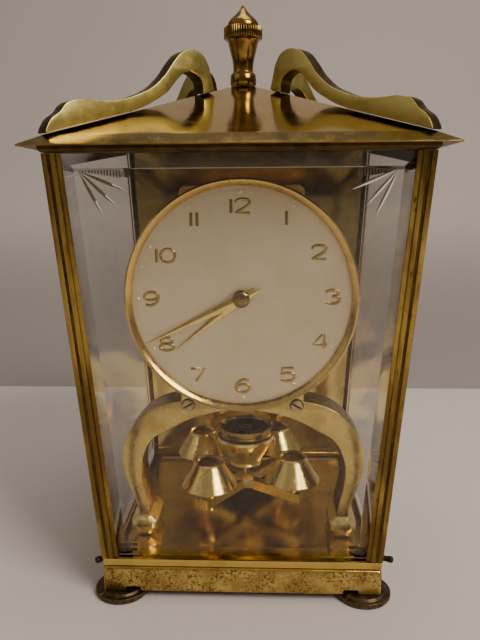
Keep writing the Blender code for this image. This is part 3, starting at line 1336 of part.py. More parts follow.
def make_minute_wheel():
    phase = phase_to(MINUTE_STUD, CENTRE)
    bore = MINUTE_STUD_RADIUS + GAP
    wheel = upright([toothed(MINUTE_STUD, MINUTE_WHEEL_TEETH, MOTION_MODULE, phase), circle(MINUTE_STUD, bore)],
                    cannon_gear_front(), MOTION_THICKNESS)
    leaves = toothed(MINUTE_STUD, MINUTE_PINION_TEETH, MOTION_MODULE,
                     phase_gap(MINUTE_STUD, CENTRE, MINUTE_PINION_TEETH), True)
    pinion = upright([leaves, circle(MINUTE_STUD, bore)], hour_wheel_front(),
                     cannon_gear_front() - hour_wheel_front() + BITE)
    return join(geared("minute_wheel", wheel, MINUTE_STUD), pinion)


def make_hour_wheel():
    teeth = toothed(CENTRE, HOUR_WHEEL_TEETH, MOTION_MODULE, phase_to(CENTRE, MINUTE_STUD))
    gear = upright([teeth, circle(CENTRE, HOUR_TUBE_BORE + GAP)], hour_wheel_front(), MOTION_THICKNESS)
    front = HOUR_HAND_Y + GAP
    back = hour_wheel_front() + MOTION_THICKNESS - BITE
    profile = [(HOUR_TUBE_BORE, front), (HOUR_TUBE_RADIUS, front), (HOUR_TUBE_RADIUS, back),
               (HOUR_TUBE_BORE, back)]
    return join(geared("hour_wheel", gear, CENTRE), turned_y(profile, STEPS_BORE, *CENTRE, closed=True))


def make_dial():
    back = DIAL_FRONT + DIAL_THICKNESS
    profile = [(DIAL_HOLE, DIAL_FRONT), (DIAL_RADIUS, DIAL_FRONT), (DIAL_RADIUS, back), (DIAL_HOLE, back)]
    dial = add("dial", turned_y(profile, STEPS_BIG, *CENTRE, closed=True), "silver_dial")
    for x, z in dial_foot_places():
        join(dial, rod(DIAL_FOOT_RADIUS, (x, back - BITE, z), (x, FRONT_PLATE_BACK - BITE, z)))
    return dial


def make_bezel():
    seat = DIAL_FRONT - GAP
    inner = DIAL_RADIUS + GAP
    mouth = DIAL_RADIUS - BEZEL_COVER
    crest = BEZEL_RADIUS - BEZEL_CHAMFER
    profile = [(crest - BEZEL_CREST, BEZEL_FRONT), (crest, BEZEL_FRONT),
               (BEZEL_RADIUS, BEZEL_FRONT + BEZEL_EDGE), (BEZEL_RADIUS, BEZEL_BACK), (inner, BEZEL_BACK),
               (inner, seat), (mouth, seat), (mouth, seat - BEZEL_LIP)]
    return add("bezel", turned_y(profile, STEPS_BIG, *CENTRE, closed=True), "brass")


def blade(angle, reach, tail, y_back):
    """A ridged lance hand as a loft of five-sided sections, pointing clockwise from twelve."""
    station_shares = ((-1.0, 1.05), (-0.45, 0.62), (0.0, 0.55), (0.10, 0.72), (0.30, 1.0), (0.62, 0.72),
                      (1.0, 0.10))
    sections = []
    for share, width_share in station_shares:
        run = share * (tail if share < 0 else reach)
        w = HAND_HALF_WIDTH * width_share
        peak = HAND_THICKNESS + HAND_RIDGE * width_share
        ring = [(-w, 0), (w, 0), (w, HAND_THICKNESS), (0, peak), (-w, HAND_THICKNESS)]
        sections.append([(side, -height, run) for side, height in ring])
    place = (Matrix.Translation((CENTRE[0], y_back, CENTRE[1]))
             @ Matrix.Rotation(angle, 4, "Y"))
    return placed(loft(sections), place)


def make_hand(name, angle, reach, tail, y_back, bore):
    hub_front = y_back - HAND_THICKNESS - BITE
    profile = [(0, hub_front), (HAND_HUB_RADIUS, hub_front), (HAND_HUB_RADIUS, y_back + BITE / 2),
               (0, y_back + BITE / 2)]
    hand = geared(name, blade(angle, reach, tail, y_back), CENTRE, "gold")
    join(hand, turned_y(profile, STEPS_BORE, *CENTRE))
    x, z = CENTRE
    return cut(hand, rod(bore, (x, y_back - OVERRUN, z), (x, y_back + OVERRUN, z), STEPS_SCREW))


def make_hand_nut():
    back = MINUTE_HAND_Y - HAND_THICKNESS - HAND_RIDGE - GAP
    bore = CENTRE_ARBOR_RADIUS + GAP
    front = back - NUT_HEIGHT
    dome = [(NUT_RADIUS * math.sin(t * QUARTER / 4), front + NUT_HEIGHT * (1 - math.cos(t * QUARTER / 4)) * NUT_DOME_SHARE)
            for t in range(5)]
    profile = dome + [(NUT_RADIUS, back), (0, back)]
    nut = geared("hand_nut", turned_y(profile, STEPS_ROUND, *CENTRE), CENTRE, "bronze")
    x, z = CENTRE
    return cut(nut, rod(bore, (x, back - NUT_HEIGHT / 2, z), (x, back + OVERRUN, z)))


# Suspension and pendulum

def make_saddle():
    """Bracket behind the back plate, with the square block that grips the spring."""
    y = PENDULUM_Y
    front = BACK_PLATE_BACK + GAP
    back = y + SADDLE_DEPTH / 2
    top = SADDLE_TOP + BLOCK_HEAD_HEIGHT
    saddle = add("suspension_saddle", box((-SADDLE_HALF, front, SADDLE_TOP - SADDLE_THICKNESS),
                                          (SADDLE_HALF, back, SADDLE_TOP)), "brass")
    join(saddle, box((-SADDLE_HALF + BITE, front, SADDLE_TOP - SADDLE_FOOT_HEIGHT),
                     (SADDLE_HALF - BITE, front + SADDLE_FOOT_THICKNESS, SADDLE_TOP - BITE)),
         box((-BLOCK_HALF_X, y - BLOCK_HALF_Y, BLOCK_BOTTOM), (BLOCK_HALF_X, y + BLOCK_HALF_Y, top)),
         box((-BLOCK_HEAD_HALF, y - BLOCK_HALF_Y - BITE, SADDLE_TOP - BITE),
             (BLOCK_HEAD_HALF, y + BLOCK_HALF_Y + BITE, top - BITE)))
    return cut(saddle, rod(STRIP_BORE, (0, y, BLOCK_BOTTOM - OVERRUN), (0, y, STRIP_TOP + GAP)))


def make_strip():
    y = PENDULUM_Y
    return add("suspension_spring", box((-STRIP_HALF_WIDTH, y - STRIP_HALF_THICKNESS, STRIP_BOTTOM),
                                        (STRIP_HALF_WIDTH, y + STRIP_HALF_THICKNESS, STRIP_TOP)), "steel")


def make_fork():
    bottom = FORK_Z - FORK_HEIGHT / 2
    hub = level([circle((0, PENDULUM_Y), FORK_HUB_RADIUS, STEPS_BORE)], bottom, FORK_HEIGHT)
    fork = add("suspension_fork", hub, "brass")
    for side in (-1, 1):
        near, far = sorted((side * FORK_TINE_INNER, side * (FORK_TINE_INNER + FORK_TINE_WIDTH)))
        join(fork, box((near, PENDULUM_Y - FORK_TINE_REACH, bottom + BITE),
                       (far, PENDULUM_Y - STRIP_BORE * FORK_TINE_ROOT_SHARE, FORK_Z + FORK_HEIGHT / 2 - BITE)))
    return cut(fork, rod(STRIP_BORE, (0, PENDULUM_Y, bottom - OVERRUN), (0, PENDULUM_Y, FORK_Z + FORK_HEIGHT)))


def make_hook():
    y = PENDULUM_Y
    disc_bottom = REGULATOR_DISH_Z + GAP
    disc_top = disc_bottom + HOOK_DISC_THICKNESS
    stem_end = HUB_RING_BOTTOM
    profile = [(0, disc_top), (HOOK_DISC_RADIUS, disc_top), (HOOK_DISC_RADIUS, disc_bottom),
               (HOOK_STEM_RADIUS, disc_bottom), (HOOK_STEM_RADIUS, stem_end), (0, stem_end)]
    base = placed(turned(profile, STEPS_BORE), Matrix.Translation((0, y, 0)))
    hook = add("pendulum_hook", base, "brass")
    for side in (-1, 1):
        x = side * HOOK_PIN_X
        join(hook, rod(HOOK_PIN_RADIUS, (x, y, disc_top - BITE), (x, y, HOOK_BLOCK_BOTTOM + BITE)))
    join(hook, box((-HOOK_HALF_X, y - HOOK_HALF_Y, HOOK_BLOCK_BOTTOM), (HOOK_HALF_X, y + HOOK_HALF_Y, HOOK_TOP)))
    return cut(hook, rod(STRIP_BORE, (0, y, STRIP_BOTTOM - GAP), (0, y, HOOK_TOP + OVERRUN)))


def make_regulator():
    y = PENDULUM_Y
    bore = HOOK_STEM_RADIUS + GAP
    rim_inner = REGULATOR_RIM_RADIUS - REGULATOR_RIM_WALL
    rim_bottom = REGULATOR_TOP - REGULATOR_RIM_HEIGHT
    groove = REGULATOR_SIDE_RADIUS - REGULATOR_RIM_WALL / 2
    step = (rim_bottom - REGULATOR_BOTTOM) / 5
    side = [(REGULATOR_SIDE_RADIUS, rim_bottom), (REGULATOR_SIDE_RADIUS, rim_bottom - step),
            (groove, rim_bottom - 2 * step), (REGULATOR_SIDE_RADIUS, rim_bottom - 3 * step)]
    profile = ([(bore, REGULATOR_DISH_Z), (HOOK_DISC_RADIUS + GAP, REGULATOR_DISH_Z),
                (rim_inner - REGULATOR_RIM_WALL, REGULATOR_DISH_Z + REGULATOR_RIM_WALL / 2),
                (rim_inner, rim_bottom), (rim_inner, REGULATOR_TOP), (REGULATOR_RIM_RADIUS, REGULATOR_TOP),
                (REGULATOR_RIM_RADIUS, rim_bottom)] + side
               + [(REGULATOR_SIDE_RADIUS, REGULATOR_BOTTOM), (bore, REGULATOR_BOTTOM)])
    mesh = placed(turned(profile, STEPS_TURNED, closed=True), Matrix.Translation((0, y, 0)))
    return add("regulator_disc", mesh, "bronze")


def make_hub():
    y = PENDULUM_Y
    bore = HOOK_STEM_RADIUS + GAP
    well = HUB_RING_BOTTOM - GAP
    run = HUB_RING_BOTTOM - HUB_FOOT_Z
    cone_shares = ((1.0, 1.0), (0.80, 0.62), (0.42, 0.22))
    flare = HUB_WAIST_RADIUS - HUB_FOOT_RADIUS
    foot = HUB_FOOT_RADIUS + HUB_FOOT_BEAD
    cone = [(HUB_FOOT_RADIUS + flare * r, HUB_FOOT_Z + run * h) for r, h in cone_shares]
    profile = ([(0, well), (bore, well), (bore, HUB_RING_TOP), (HUB_RING_RADIUS, HUB_RING_TOP),
                (HUB_RING_RADIUS, HUB_RING_BOTTOM)] + cone
               + [(HUB_FOOT_RADIUS, HUB_FOOT_Z + 2 * HUB_FOOT_BEAD), (foot, HUB_FOOT_Z + HUB_FOOT_BEAD),
                  (HUB_FOOT_RADIUS, HUB_FOOT_Z), (HUB_PIN_RADIUS, HUB_FOOT_Z),
                  (HUB_PIN_RADIUS, ARM_TOP - ARM_HEIGHT / 2), (0, ARM_TOP - ARM_HEIGHT / 2)])
    mesh = placed(turned(profile, STEPS_TURNED), Matrix.Translation((0, y, 0)))
    return add("pendulum_hub", mesh, "brass")


def make_arms():
    """Four arms in a cross with a guide slot for each weight."""
    centre = (0, PENDULUM_Y)
    outline, slots = [], []
    for i in range(4):
        turn = WEIGHT_ANGLE + i * QUARTER
        end = along(centre, turn, ARM_REACH)
        root = math.sqrt(ARM_HUB_RADIUS ** 2 - ARM_HALF_WIDTH ** 2)
        start = along(centre, turn, root)
        outline += [along(start, turn - QUARTER, ARM_HALF_WIDTH), along(end, turn - QUARTER, ARM_HALF_WIDTH)]
        outline += [along(end, turn + QUARTER, ARM_HALF_WIDTH), along(start, turn + QUARTER, ARM_HALF_WIDTH)]
        half = WEIGHT_STUD_RADIUS + GAP
        near = along(centre, turn, WEIGHT_ORBIT - WEIGHT_TRAVEL)
        far = along(centre, turn, WEIGHT_ORBIT + WEIGHT_TRAVEL)
        slots.append(arc(far, half, turn - QUARTER, turn + QUARTER, 4)
                     + arc(near, half, turn + QUARTER, turn + 3 * QUARTER, 4))
    hole = circle(centre, HUB_PIN_RADIUS + GAP)
    bottom = ARM_TOP - ARM_HEIGHT
    return add("pendulum_arms", level([outline, hole] + slots, bottom, ARM_HEIGHT), "brass")


def make_weights():
    boss_bottom = ARM_TOP + GAP
    nut_top = ARM_TOP - ARM_HEIGHT - GAP
    dish = WEIGHT_HEAD_RADIUS - WEIGHT_HEAD_LAND * 2
    neck = WEIGHT_TOP - WEIGHT_HEAD_LAND * 2
    profile = [(0, WEIGHT_TOP - WEIGHT_DISH), (dish, WEIGHT_TOP - WEIGHT_DISH / 2),
               (WEIGHT_HEAD_RADIUS - WEIGHT_HEAD_LAND, WEIGHT_TOP), (WEIGHT_HEAD_RADIUS, WEIGHT_TOP),
               (WEIGHT_HEAD_RADIUS, neck + WEIGHT_HEAD_LAND), (WEIGHT_HEAD_RADIUS - WEIGHT_HEAD_LAND / 2, neck),
               (WEIGHT_BASE_RADIUS, WEIGHT_BOTTOM + WEIGHT_BASE_LAND), (WEIGHT_BASE_RADIUS, WEIGHT_BOTTOM),
               (WEIGHT_BOSS_RADIUS, WEIGHT_BOTTOM), (WEIGHT_BOSS_RADIUS, boss_bottom),
               (WEIGHT_STUD_RADIUS, boss_bottom), (WEIGHT_STUD_RADIUS, nut_top), (WEIGHT_NUT_RADIUS, nut_top),
               (WEIGHT_NUT_RADIUS, nut_top - WEIGHT_NUT_HEIGHT), (0, nut_top - WEIGHT_NUT_HEIGHT)]
    mesh = turned(profile, STEPS_ROUND)
    for i, name in enumerate(("weight_rear_right", "weight_rear_left", "weight_front_left",
                              "weight_front_right")):
        x, y = along((0, PENDULUM_Y), WEIGHT_ANGLE + i * QUARTER, WEIGHT_ORBIT)
        weight = add(name, mesh.copy(), "brass")
        weight.location = (x, y, 0)


def make_movement():
    make_arch()
    make_arch_screw("arch_screw_left", -1)
    make_arch_screw("arch_screw_right", 1)
    make_front_plate()
    make_back_plate()
    make_second_wheel()
    make_third_wheel()
    make_centre_arbor()
    make_fourth_wheel()
    make_escape_wheel()
    make_anchor()
    make_barrel()
    make_winding_arbor()
    make_ratchet_wheel()
    make_click()
    make_cannon_pinion()
    make_minute_wheel()
    make_hour_wheel()
    make_dial()
    make_bezel()
    make_hand("hour_hand", HOUR_ANGLE, HOUR_REACH, HOUR_TAIL, HOUR_HAND_Y, CANNON_RADIUS + GAP)
    make_hand("minute_hand", MINUTE_ANGLE, MINUTE_REACH, MINUTE_TAIL, MINUTE_HAND_Y,
              CENTRE_ARBOR_RADIUS + GAP)
    make_hand_nut()


def make_pendulum():
    make_saddle()
    make_strip()
    make_fork()
    make_hook()
    make_regulator()
    make_hub()
    make_arms()
    make_weights()


def main():
    clear_scene()
    make_plinth()
    make_feet()
    make_floor()
    make_lever("catch_lever_right", 1, LEVER_REST_RIGHT)
    make_lever("catch_lever_left", -1, LEVER_REST_LEFT)
    make_case()
    make_movement()
    make_pendulum()


main()
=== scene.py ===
"""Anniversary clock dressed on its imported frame.

Lengths of the clock are in millimetres until a piece is made; the room, the lights and the camera are in metres.
"""

import json
from math import atan2, cos, hypot, pi, radians, sin, sqrt

import bmesh
import bpy
from mathutils import Matrix, Vector

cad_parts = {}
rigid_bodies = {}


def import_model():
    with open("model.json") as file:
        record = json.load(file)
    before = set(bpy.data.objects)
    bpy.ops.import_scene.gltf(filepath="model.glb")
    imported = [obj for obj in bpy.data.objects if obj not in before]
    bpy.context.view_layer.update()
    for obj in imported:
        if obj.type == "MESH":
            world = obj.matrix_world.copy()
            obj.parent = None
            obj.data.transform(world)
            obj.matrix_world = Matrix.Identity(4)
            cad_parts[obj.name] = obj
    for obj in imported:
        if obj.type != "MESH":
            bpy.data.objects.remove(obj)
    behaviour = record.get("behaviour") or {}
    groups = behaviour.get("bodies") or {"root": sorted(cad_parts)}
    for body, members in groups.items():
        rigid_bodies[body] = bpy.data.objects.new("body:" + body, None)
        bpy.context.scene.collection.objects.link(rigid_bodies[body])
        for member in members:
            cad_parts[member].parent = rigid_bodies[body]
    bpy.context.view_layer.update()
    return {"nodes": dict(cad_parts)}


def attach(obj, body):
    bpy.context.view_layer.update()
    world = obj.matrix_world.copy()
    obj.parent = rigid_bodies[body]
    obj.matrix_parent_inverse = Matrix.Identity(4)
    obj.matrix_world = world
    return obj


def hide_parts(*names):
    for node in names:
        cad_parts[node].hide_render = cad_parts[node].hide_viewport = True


MM = 0.001
HIP = sqrt(2)
QUARTER = pi / 2
SHARP_ANGLE = 38
NOISE_ROUGHNESS = 0.55
FOOT_SHADE = 0.16

for leftover in list(bpy.data.objects):
    bpy.data.objects.remove(leftover)
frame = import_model()


# Shader building

class Shader:
    """A Principled material with a few short ways of adding nodes."""

    def __init__(self, name):
        self.material = bpy.data.materials.new(name)
        self.material.use_nodes = True
        self.tree = self.material.node_tree
        self.bsdf = self.tree.nodes["Principled BSDF"]
        self.place = self.tree.nodes.new("ShaderNodeTexCoord").outputs["Object"]

    def feed(self, socket, value):
        """Link another node's output to a socket, or set the socket to a constant."""
        if isinstance(value, bpy.types.NodeSocket):
            self.tree.links.new(value, socket)
        else:
            socket.default_value = value

    def node(self, kind, inputs=None, **settings):
        node = self.tree.nodes.new("ShaderNode" + kind)
        for key, value in settings.items():
            setattr(node, key, value)
        for key, value in (inputs or {}).items():
            self.feed(node.inputs[key], value)
        return node

    def set(self, **values):
        for key, value in values.items():
            self.feed(self.bsdf.inputs[key.replace("_", " ")], value)
        return self

    def noise(self, size, detail=3.0, stretch=(1, 1, 1), shift=0.0):
        """Grey noise with features of about size millimetres."""
        move = self.node("Mapping", {"Vector": self.place, "Location": (shift, shift, shift),
                                     "Scale": tuple(1 / s for s in stretch)})
        return self.node("TexNoise", {"Vector": move.outputs["Vector"], "Scale": 1 / (size * MM),
                                      "Detail": detail, "Roughness": NOISE_ROUGHNESS}).outputs["Fac"]

    def ramp(self, value, low, high, start=0.0, end=1.0):
        return self.node("MapRange", {"Value": value, "From Min": low, "From Max": high, "To Min": start,
                                      "To Max": end}, interpolation_type="SMOOTHSTEP").outputs["Result"]

    def maths(self, operation, a, b):
        node = self.node("Math", operation=operation)
        self.feed(node.inputs[0], a)
        self.feed(node.inputs[1], b)
        return node.outputs[0]

    def blend(self, factor, first, second):
        node = self.node("Mix", data_type="RGBA")
        self.feed(node.inputs[0], factor)
        for index, value in ((6, first), (7, second)):
            self.feed(node.inputs[index], value if isinstance(value, bpy.types.NodeSocket) else (*value, 1))
        return node.outputs[2]

    def bump(self, *layers):
        """Each layer is (height, depth in millimetres)."""
        normal = None
        for height, depth in layers:
            inputs = {"Height": height, "Distance": depth * MM, "Strength": 1.0}
            if normal is not None:
                inputs["Normal"] = normal
            normal = self.node("Bump", inputs).outputs["Normal"]
        return self.set(Normal=normal)


def brass(name, light, dark, brown, rough=(0.14, 0.30), tarnish=(0.45, 0.75), spots=(0.60, 0.72),
          spot_size=1.2, grain=(1, 1, 1), grain_depth=0.003, patch=14, cast=0.0, spread=(0.42, 0.66), streak=(1, 1, 1)):
    """Brass with cloudy tarnish, brown specks, a fine directional grain and uneven polish."""
    s = Shader(name)
    cloud = s.ramp(s.noise(patch, 4, stretch=streak), *tarnish)
    specks = s.ramp(s.noise(spot_size, 5, stretch=streak, shift=0.3), *spots)
    broad = s.ramp(s.noise(patch * 0.6, 3, shift=0.7), *spread)
    colour = s.blend(cloud, light, dark)
    colour = s.blend(s.maths("MULTIPLY", specks, broad), colour, brown)
    fine = s.noise(0.25, 3, stretch=grain, shift=0.1)
    smudge = s.noise(patch * 0.35, 5, shift=0.5)
    rough_low, rough_high = rough
    gloss = s.ramp(s.maths("ADD", s.maths("MULTIPLY", smudge, 0.7), s.maths("MULTIPLY", fine, 0.3)),
                   0.35, 0.7, rough_low, rough_high)
    gloss = s.maths("ADD", gloss, s.maths("MULTIPLY", specks, 0.18))
    s.set(Base_Color=colour, Metallic=1.0, Roughness=gloss)
    layers = [(fine, grain_depth)]
    if cast:
        layers.append((s.noise(1.6, 4, shift=0.9), cast))
    layers.append((specks, 0.004))
    return s.bump(*layers).material


def steel(name, light, dark, rough, metallic=1.0):
    s = Shader(name)
    cloud = s.ramp(s.noise(5, 4), 0.35, 0.7)
    fine = s.noise(0.2, 3, stretch=(1, 1, 6), shift=0.2)
    s.set(Base_Color=s.blend(cloud, light, dark), Metallic=metallic,
          Roughness=s.ramp(fine, 0.3, 0.7, rough * 0.7, rough * 1.3))
    return s.bump((fine, 0.003)).material


def bronze(name):
    """Dark bronzed brass, worn back to metal on its edges and knurls."""
    s = Shader(name)
    edge = s.ramp(s.node("NewGeometry").outputs["Pointiness"], 0.51, 0.56)
    cloud = s.ramp(s.noise(3, 4), 0.38, 0.68)
    colour = s.blend(cloud, (0.105, 0.068, 0.036), (0.045, 0.030, 0.018))
    worn = s.maths("MULTIPLY", edge, s.ramp(s.noise(1.5, 4, shift=0.4), 0.35, 0.6))
    fine = s.noise(0.3, 4)
    s.set(Base_Color=s.blend(worn, colour, (0.36, 0.25, 0.11)), Metallic=0.9,
          Roughness=s.ramp(fine, 0.3, 0.7, 0.32, 0.55))
    return s.bump((fine, 0.008)).material


def silvered(name):
    """Matt silvered dial, warmed by its lacquer, with a faint turned grain and a few age specks."""
    s = Shader(name)
    cloud = s.ramp(s.noise(26, 4), 0.35, 0.72)
    specks = s.ramp(s.noise(0.9, 3, shift=0.6), 0.70, 0.78)
    colour = s.blend(cloud, (0.97, 0.81, 0.545), (0.89, 0.72, 0.435))
    colour = s.blend(s.maths("MULTIPLY", specks, 0.5), colour, (0.42, 0.30, 0.17))
    fine = s.noise(0.22, 3)
    s.set(Base_Color=colour, Metallic=0.35, Roughness=s.ramp(fine, 0.3, 0.7, 0.42, 0.54))
    return s.bump((fine, 0.004)).material


def clear_glass(name):
    """Pane glass with a faint unevenness and a film of dust."""
    s = Shader(name)
    wave = s.noise(30, 2)
    film = s.noise(8, 5, shift=0.4)
    s.set(Base_Color=s.blend(film, (1.0, 1.0, 0.995), (0.975, 0.98, 0.97)),
          Roughness=s.ramp(film, 0.5, 0.9, 0.0, 0.02), Transmission_Weight=1.0, IOR=1.37)
    return s.bump((wave, 0.02)).material


def frosted(name, light, dark, through):
    """The tinted glass of a wheel-cut ray; its colour is painted light, pale for a painted glint and dark for painted
    shade.
    """
    s = Shader(name)
    fine = s.noise(0.3, 3)
    s.set(Base_Color=s.blend(fine, light, dark),
          Roughness=s.ramp(fine, 0.3, 0.7, 0.15, 0.35), Transmission_Weight=through, IOR=1.5)
    return s.bump((fine, 0.01)).material


def plain(name, light, dark, rough, size, weave=0.0, foot=1.0):
    """Paper or cloth, with painted shade that darkens it by foot towards its lower edge, FOOT_SHADE metres high."""
    s = Shader(name)
    cloud = s.noise(size, 3)
    colour = s.blend(cloud, light, dark)
    if foot < 1:
        rise = s.ramp(s.node("SeparateXYZ", {"Vector": s.place}).outputs["Z"], 0.0, FOOT_SHADE, foot, 1.0)
        colour = s.blend(rise, (0, 0, 0), colour)
    s.set(Base_Color=colour, Roughness=rough)
    if weave:
        s.bump((s.noise(weave, 3), 0.05))
    return s.material


POLISHED = brass("polished_brass", (0.66, 0.46, 0.115), (0.44, 0.28, 0.065), (0.14, 0.06, 0.018),
                 rough=(0.10, 0.24), tarnish=(0.5, 0.8), spots=(0.62, 0.74), grain=(1, 1, 5))
# A darker copy of the roof brass for the skirt below the kink: painted shade.
SKIRT_SHADE = brass("skirt_painted_shade", (0.36, 0.255, 0.06), (0.22, 0.14, 0.033), (0.07, 0.035, 0.01),
              rough=(0.16, 0.30), tarnish=(0.45, 0.8), spots=(0.62, 0.76))
# Painted shade: a dark copy of the brass for the top rail under the eave, the bracket sides and the grooves of the
# posts and finial.
SHADE = brass("shaded_brass", (0.11, 0.068, 0.021), (0.055, 0.033, 0.011), (0.030, 0.017, 0.007),
              rough=(0.28, 0.5), tarnish=(0.35, 0.7), spots=(0.55, 0.7), patch=6)
# Brown for the roof's underside: painted shade with a reddish painted reflection.
UNDERSIDE_SHADE = brass("roof_underside_painted_shade", (0.24, 0.125, 0.035), (0.10, 0.055, 0.018), (0.04, 0.022, 0.009), rough=(0.18, 0.34),
              tarnish=(0.40, 0.64), patch=24)
BEZEL = brass("bezel_brass", (0.74, 0.51, 0.145), (0.48, 0.31, 0.08), (0.24, 0.13, 0.035),
              rough=(0.16, 0.30), tarnish=(0.46, 0.80), spots=(0.62, 0.74))
# Darker than the case's other brass, partly tarnish and partly painted shade.
POST = brass("post_brass", (0.42, 0.285, 0.07), (0.17, 0.10, 0.025), (0.08, 0.04, 0.012),
             tarnish=(0.33, 0.58), spots=(0.56, 0.70), spot_size=0.9, grain=(1, 1, 14), patch=9, streak=(1, 1, 5))
PLINTH = brass("plinth_brass", (0.66, 0.48, 0.145), (0.42, 0.28, 0.075), (0.21, 0.115, 0.035),
               rough=(0.24, 0.44), tarnish=(0.36, 0.62), spots=(0.45, 0.60), spot_size=1.05,
               grain=(6, 6, 1), patch=12, spread=(0.30, 0.56))
CAST = brass("cast_brass", (0.58, 0.465, 0.145), (0.42, 0.325, 0.088), (0.20, 0.125, 0.035),
             rough=(0.28, 0.42), tarnish=(0.46, 0.78), spots=(0.62, 0.74), grain_depth=0.005, patch=11,
             cast=0.010)
SHEET = brass("sheet_brass", (0.84, 0.63, 0.21), (0.60, 0.41, 0.11), (0.24, 0.13, 0.035),
              rough=(0.07, 0.18), tarnish=(0.42, 0.72), spots=(0.62, 0.76), grain=(1, 1, 20), patch=20)
FLOOR = brass("floor_plate_brass", (0.80, 0.59, 0.19), (0.58, 0.39, 0.10), (0.22, 0.12, 0.03),
              rough=(0.15, 0.27), tarnish=(0.42, 0.72), spots=(0.62, 0.76), grain=(1, 20, 1), patch=20)
PLATE = brass("plate_brass", (0.74, 0.55, 0.18), (0.60, 0.42, 0.12), (0.28, 0.16, 0.05),
              rough=(0.22, 0.36), grain=(1, 1, 12), grain_depth=0.005)
GILT = brass("gilt", (0.88, 0.68, 0.21), (0.72, 0.52, 0.14), (0.40, 0.25, 0.07),
             rough=(0.16, 0.28), spots=(0.68, 0.8), patch=5)
DOTS = brass("dot_brass", (1.0, 0.86, 0.48), (0.92, 0.74, 0.34), (0.70, 0.50, 0.20), rough=(0.27, 0.38), patch=5)
NUMERAL = brass("numeral_brass", (0.52, 0.37, 0.10), (0.34, 0.23, 0.065), (0.17, 0.10, 0.035),
                rough=(0.12, 0.24), spots=(0.62, 0.76), patch=4)
ROOF = brass("roof_brass", (0.68, 0.485, 0.14), (0.53, 0.35, 0.09), (0.24, 0.12, 0.03), rough=(0.08, 0.17),
             tarnish=(0.46, 0.78), spots=(0.66, 0.78), patch=16)
FINIAL = brass("finial_brass", (0.36, 0.215, 0.05), (0.17, 0.09, 0.022), (0.06, 0.03, 0.010), rough=(0.12, 0.24),
               tarnish=(0.38, 0.68), patch=5)
ARCH = brass("arch_brass", (0.70, 0.52, 0.155), (0.50, 0.345, 0.095), (0.20, 0.115, 0.03), rough=(0.22, 0.34),
             tarnish=(0.40, 0.74), spots=(0.66, 0.80), patch=15, grain_depth=0.002)
# A darker copy of the arch brass for the casting's sides: painted shade.
ARCH_SIDE_SHADE = brass("arch_side_painted_shade", (0.40, 0.275, 0.08), (0.25, 0.16, 0.045), (0.12, 0.065, 0.02),
                  rough=(0.26, 0.40), tarnish=(0.40, 0.74), patch=12)
HUB = brass("hub_brass", (0.94, 0.74, 0.27), (0.78, 0.58, 0.18), (0.36, 0.21, 0.06), rough=(0.26, 0.38),
            tarnish=(0.52, 0.88), spots=(0.70, 0.82), patch=8, grain_depth=0.001)
WEIGHT = brass("weight_brass", (0.79, 0.58, 0.17), (0.62, 0.43, 0.11), (0.26, 0.145, 0.035), rough=(0.20, 0.30),
               tarnish=(0.52, 0.88), spots=(0.70, 0.82), patch=8, grain_depth=0.001)
WHEEL = brass("wheel_brass", (0.76, 0.57, 0.19), (0.64, 0.45, 0.13), (0.32, 0.19, 0.055), rough=(0.16, 0.28), patch=5)
DISC = brass("disc_brass", (0.42, 0.29, 0.08), (0.26, 0.17, 0.045), (0.12, 0.07, 0.02), rough=(0.20, 0.30),
             tarnish=(0.4, 0.8), spots=(0.74, 0.86), patch=9, grain_depth=0.001)
SCREW = brass("screw_brass", (0.50, 0.40, 0.17), (0.36, 0.27, 0.10), (0.16, 0.10, 0.04), rough=(0.26, 0.4), patch=2)
NUT = brass("nut_brass", (0.31, 0.20, 0.06), (0.17, 0.10, 0.03), (0.06, 0.03, 0.010), rough=(0.20, 0.32), patch=2)
BRONZE = bronze("bronzed_brass")
STEEL = steel("bright_steel", (0.50, 0.49, 0.47), (0.34, 0.33, 0.31), 0.24)
BLACK = steel("browned_steel", (0.055, 0.040, 0.027), (0.026, 0.019, 0.014), 0.42, 0.8)
# Near black for the screws' counterbores and slots: painted shade.
RECESS_SHADE = steel("painted_recess_shade", (0.050, 0.035, 0.022), (0.020, 0.014, 0.010), 0.6, 0.5)
DIAL = silvered("dial_silver")
GLASS = clear_glass("bevelled_glass")
# The two colours of the cut rays: a pale painted glint and a dark brown painted shade.
RAY_GLINT = frosted("cut_ray_painted_glint", (0.92, 0.90, 0.86), (0.72, 0.69, 0.64), 0.2)
RAY_SHADE = frosted("cut_ray_painted_shade", (0.22, 0.15, 0.09), (0.10, 0.065, 0.04), 0.35)


# Mesh building

def add_object(name, data):
    ob = bpy.data.objects.new(name, data)
    bpy.context.scene.collection.objects.link(ob)
    return ob


def to_metres(name, bm):
    """A mesh in metres from one in millimetres, its faces turned outward."""
    bmesh.ops.scale(bm, vec=(MM, MM, MM), verts=bm.verts)
    bmesh.ops.recalc_face_normals(bm, faces=bm.faces)
    mesh = bpy.data.meshes.new(name)
    bm.to_mesh(mesh)
    bm.free()
    return mesh


def evaluated(ob):
    return bpy.data.meshes.new_from_object(ob.evaluated_get(bpy.context.evaluated_depsgraph_get()))


def publish(name, bm, material, body, replaces=(), sharp=SHARP_ANGLE, edge=None):
    """Turn a mesh in millimetres into a named piece that rides on its body; faces marked 1 take edge."""
    bmesh.ops.remove_doubles(bm, verts=bm.verts, dist=0.0005)
    mesh = to_metres(name, bm)
    mesh.shade_smooth()
    mesh.set_sharp_from_angle(angle=radians(sharp))
    mesh.materials.append(material)
    if edge:
        mesh.materials.append(edge)
    ob = add_object(name, mesh)
    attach(ob, body)
    if replaces:
        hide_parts(*replaces)
    return ob


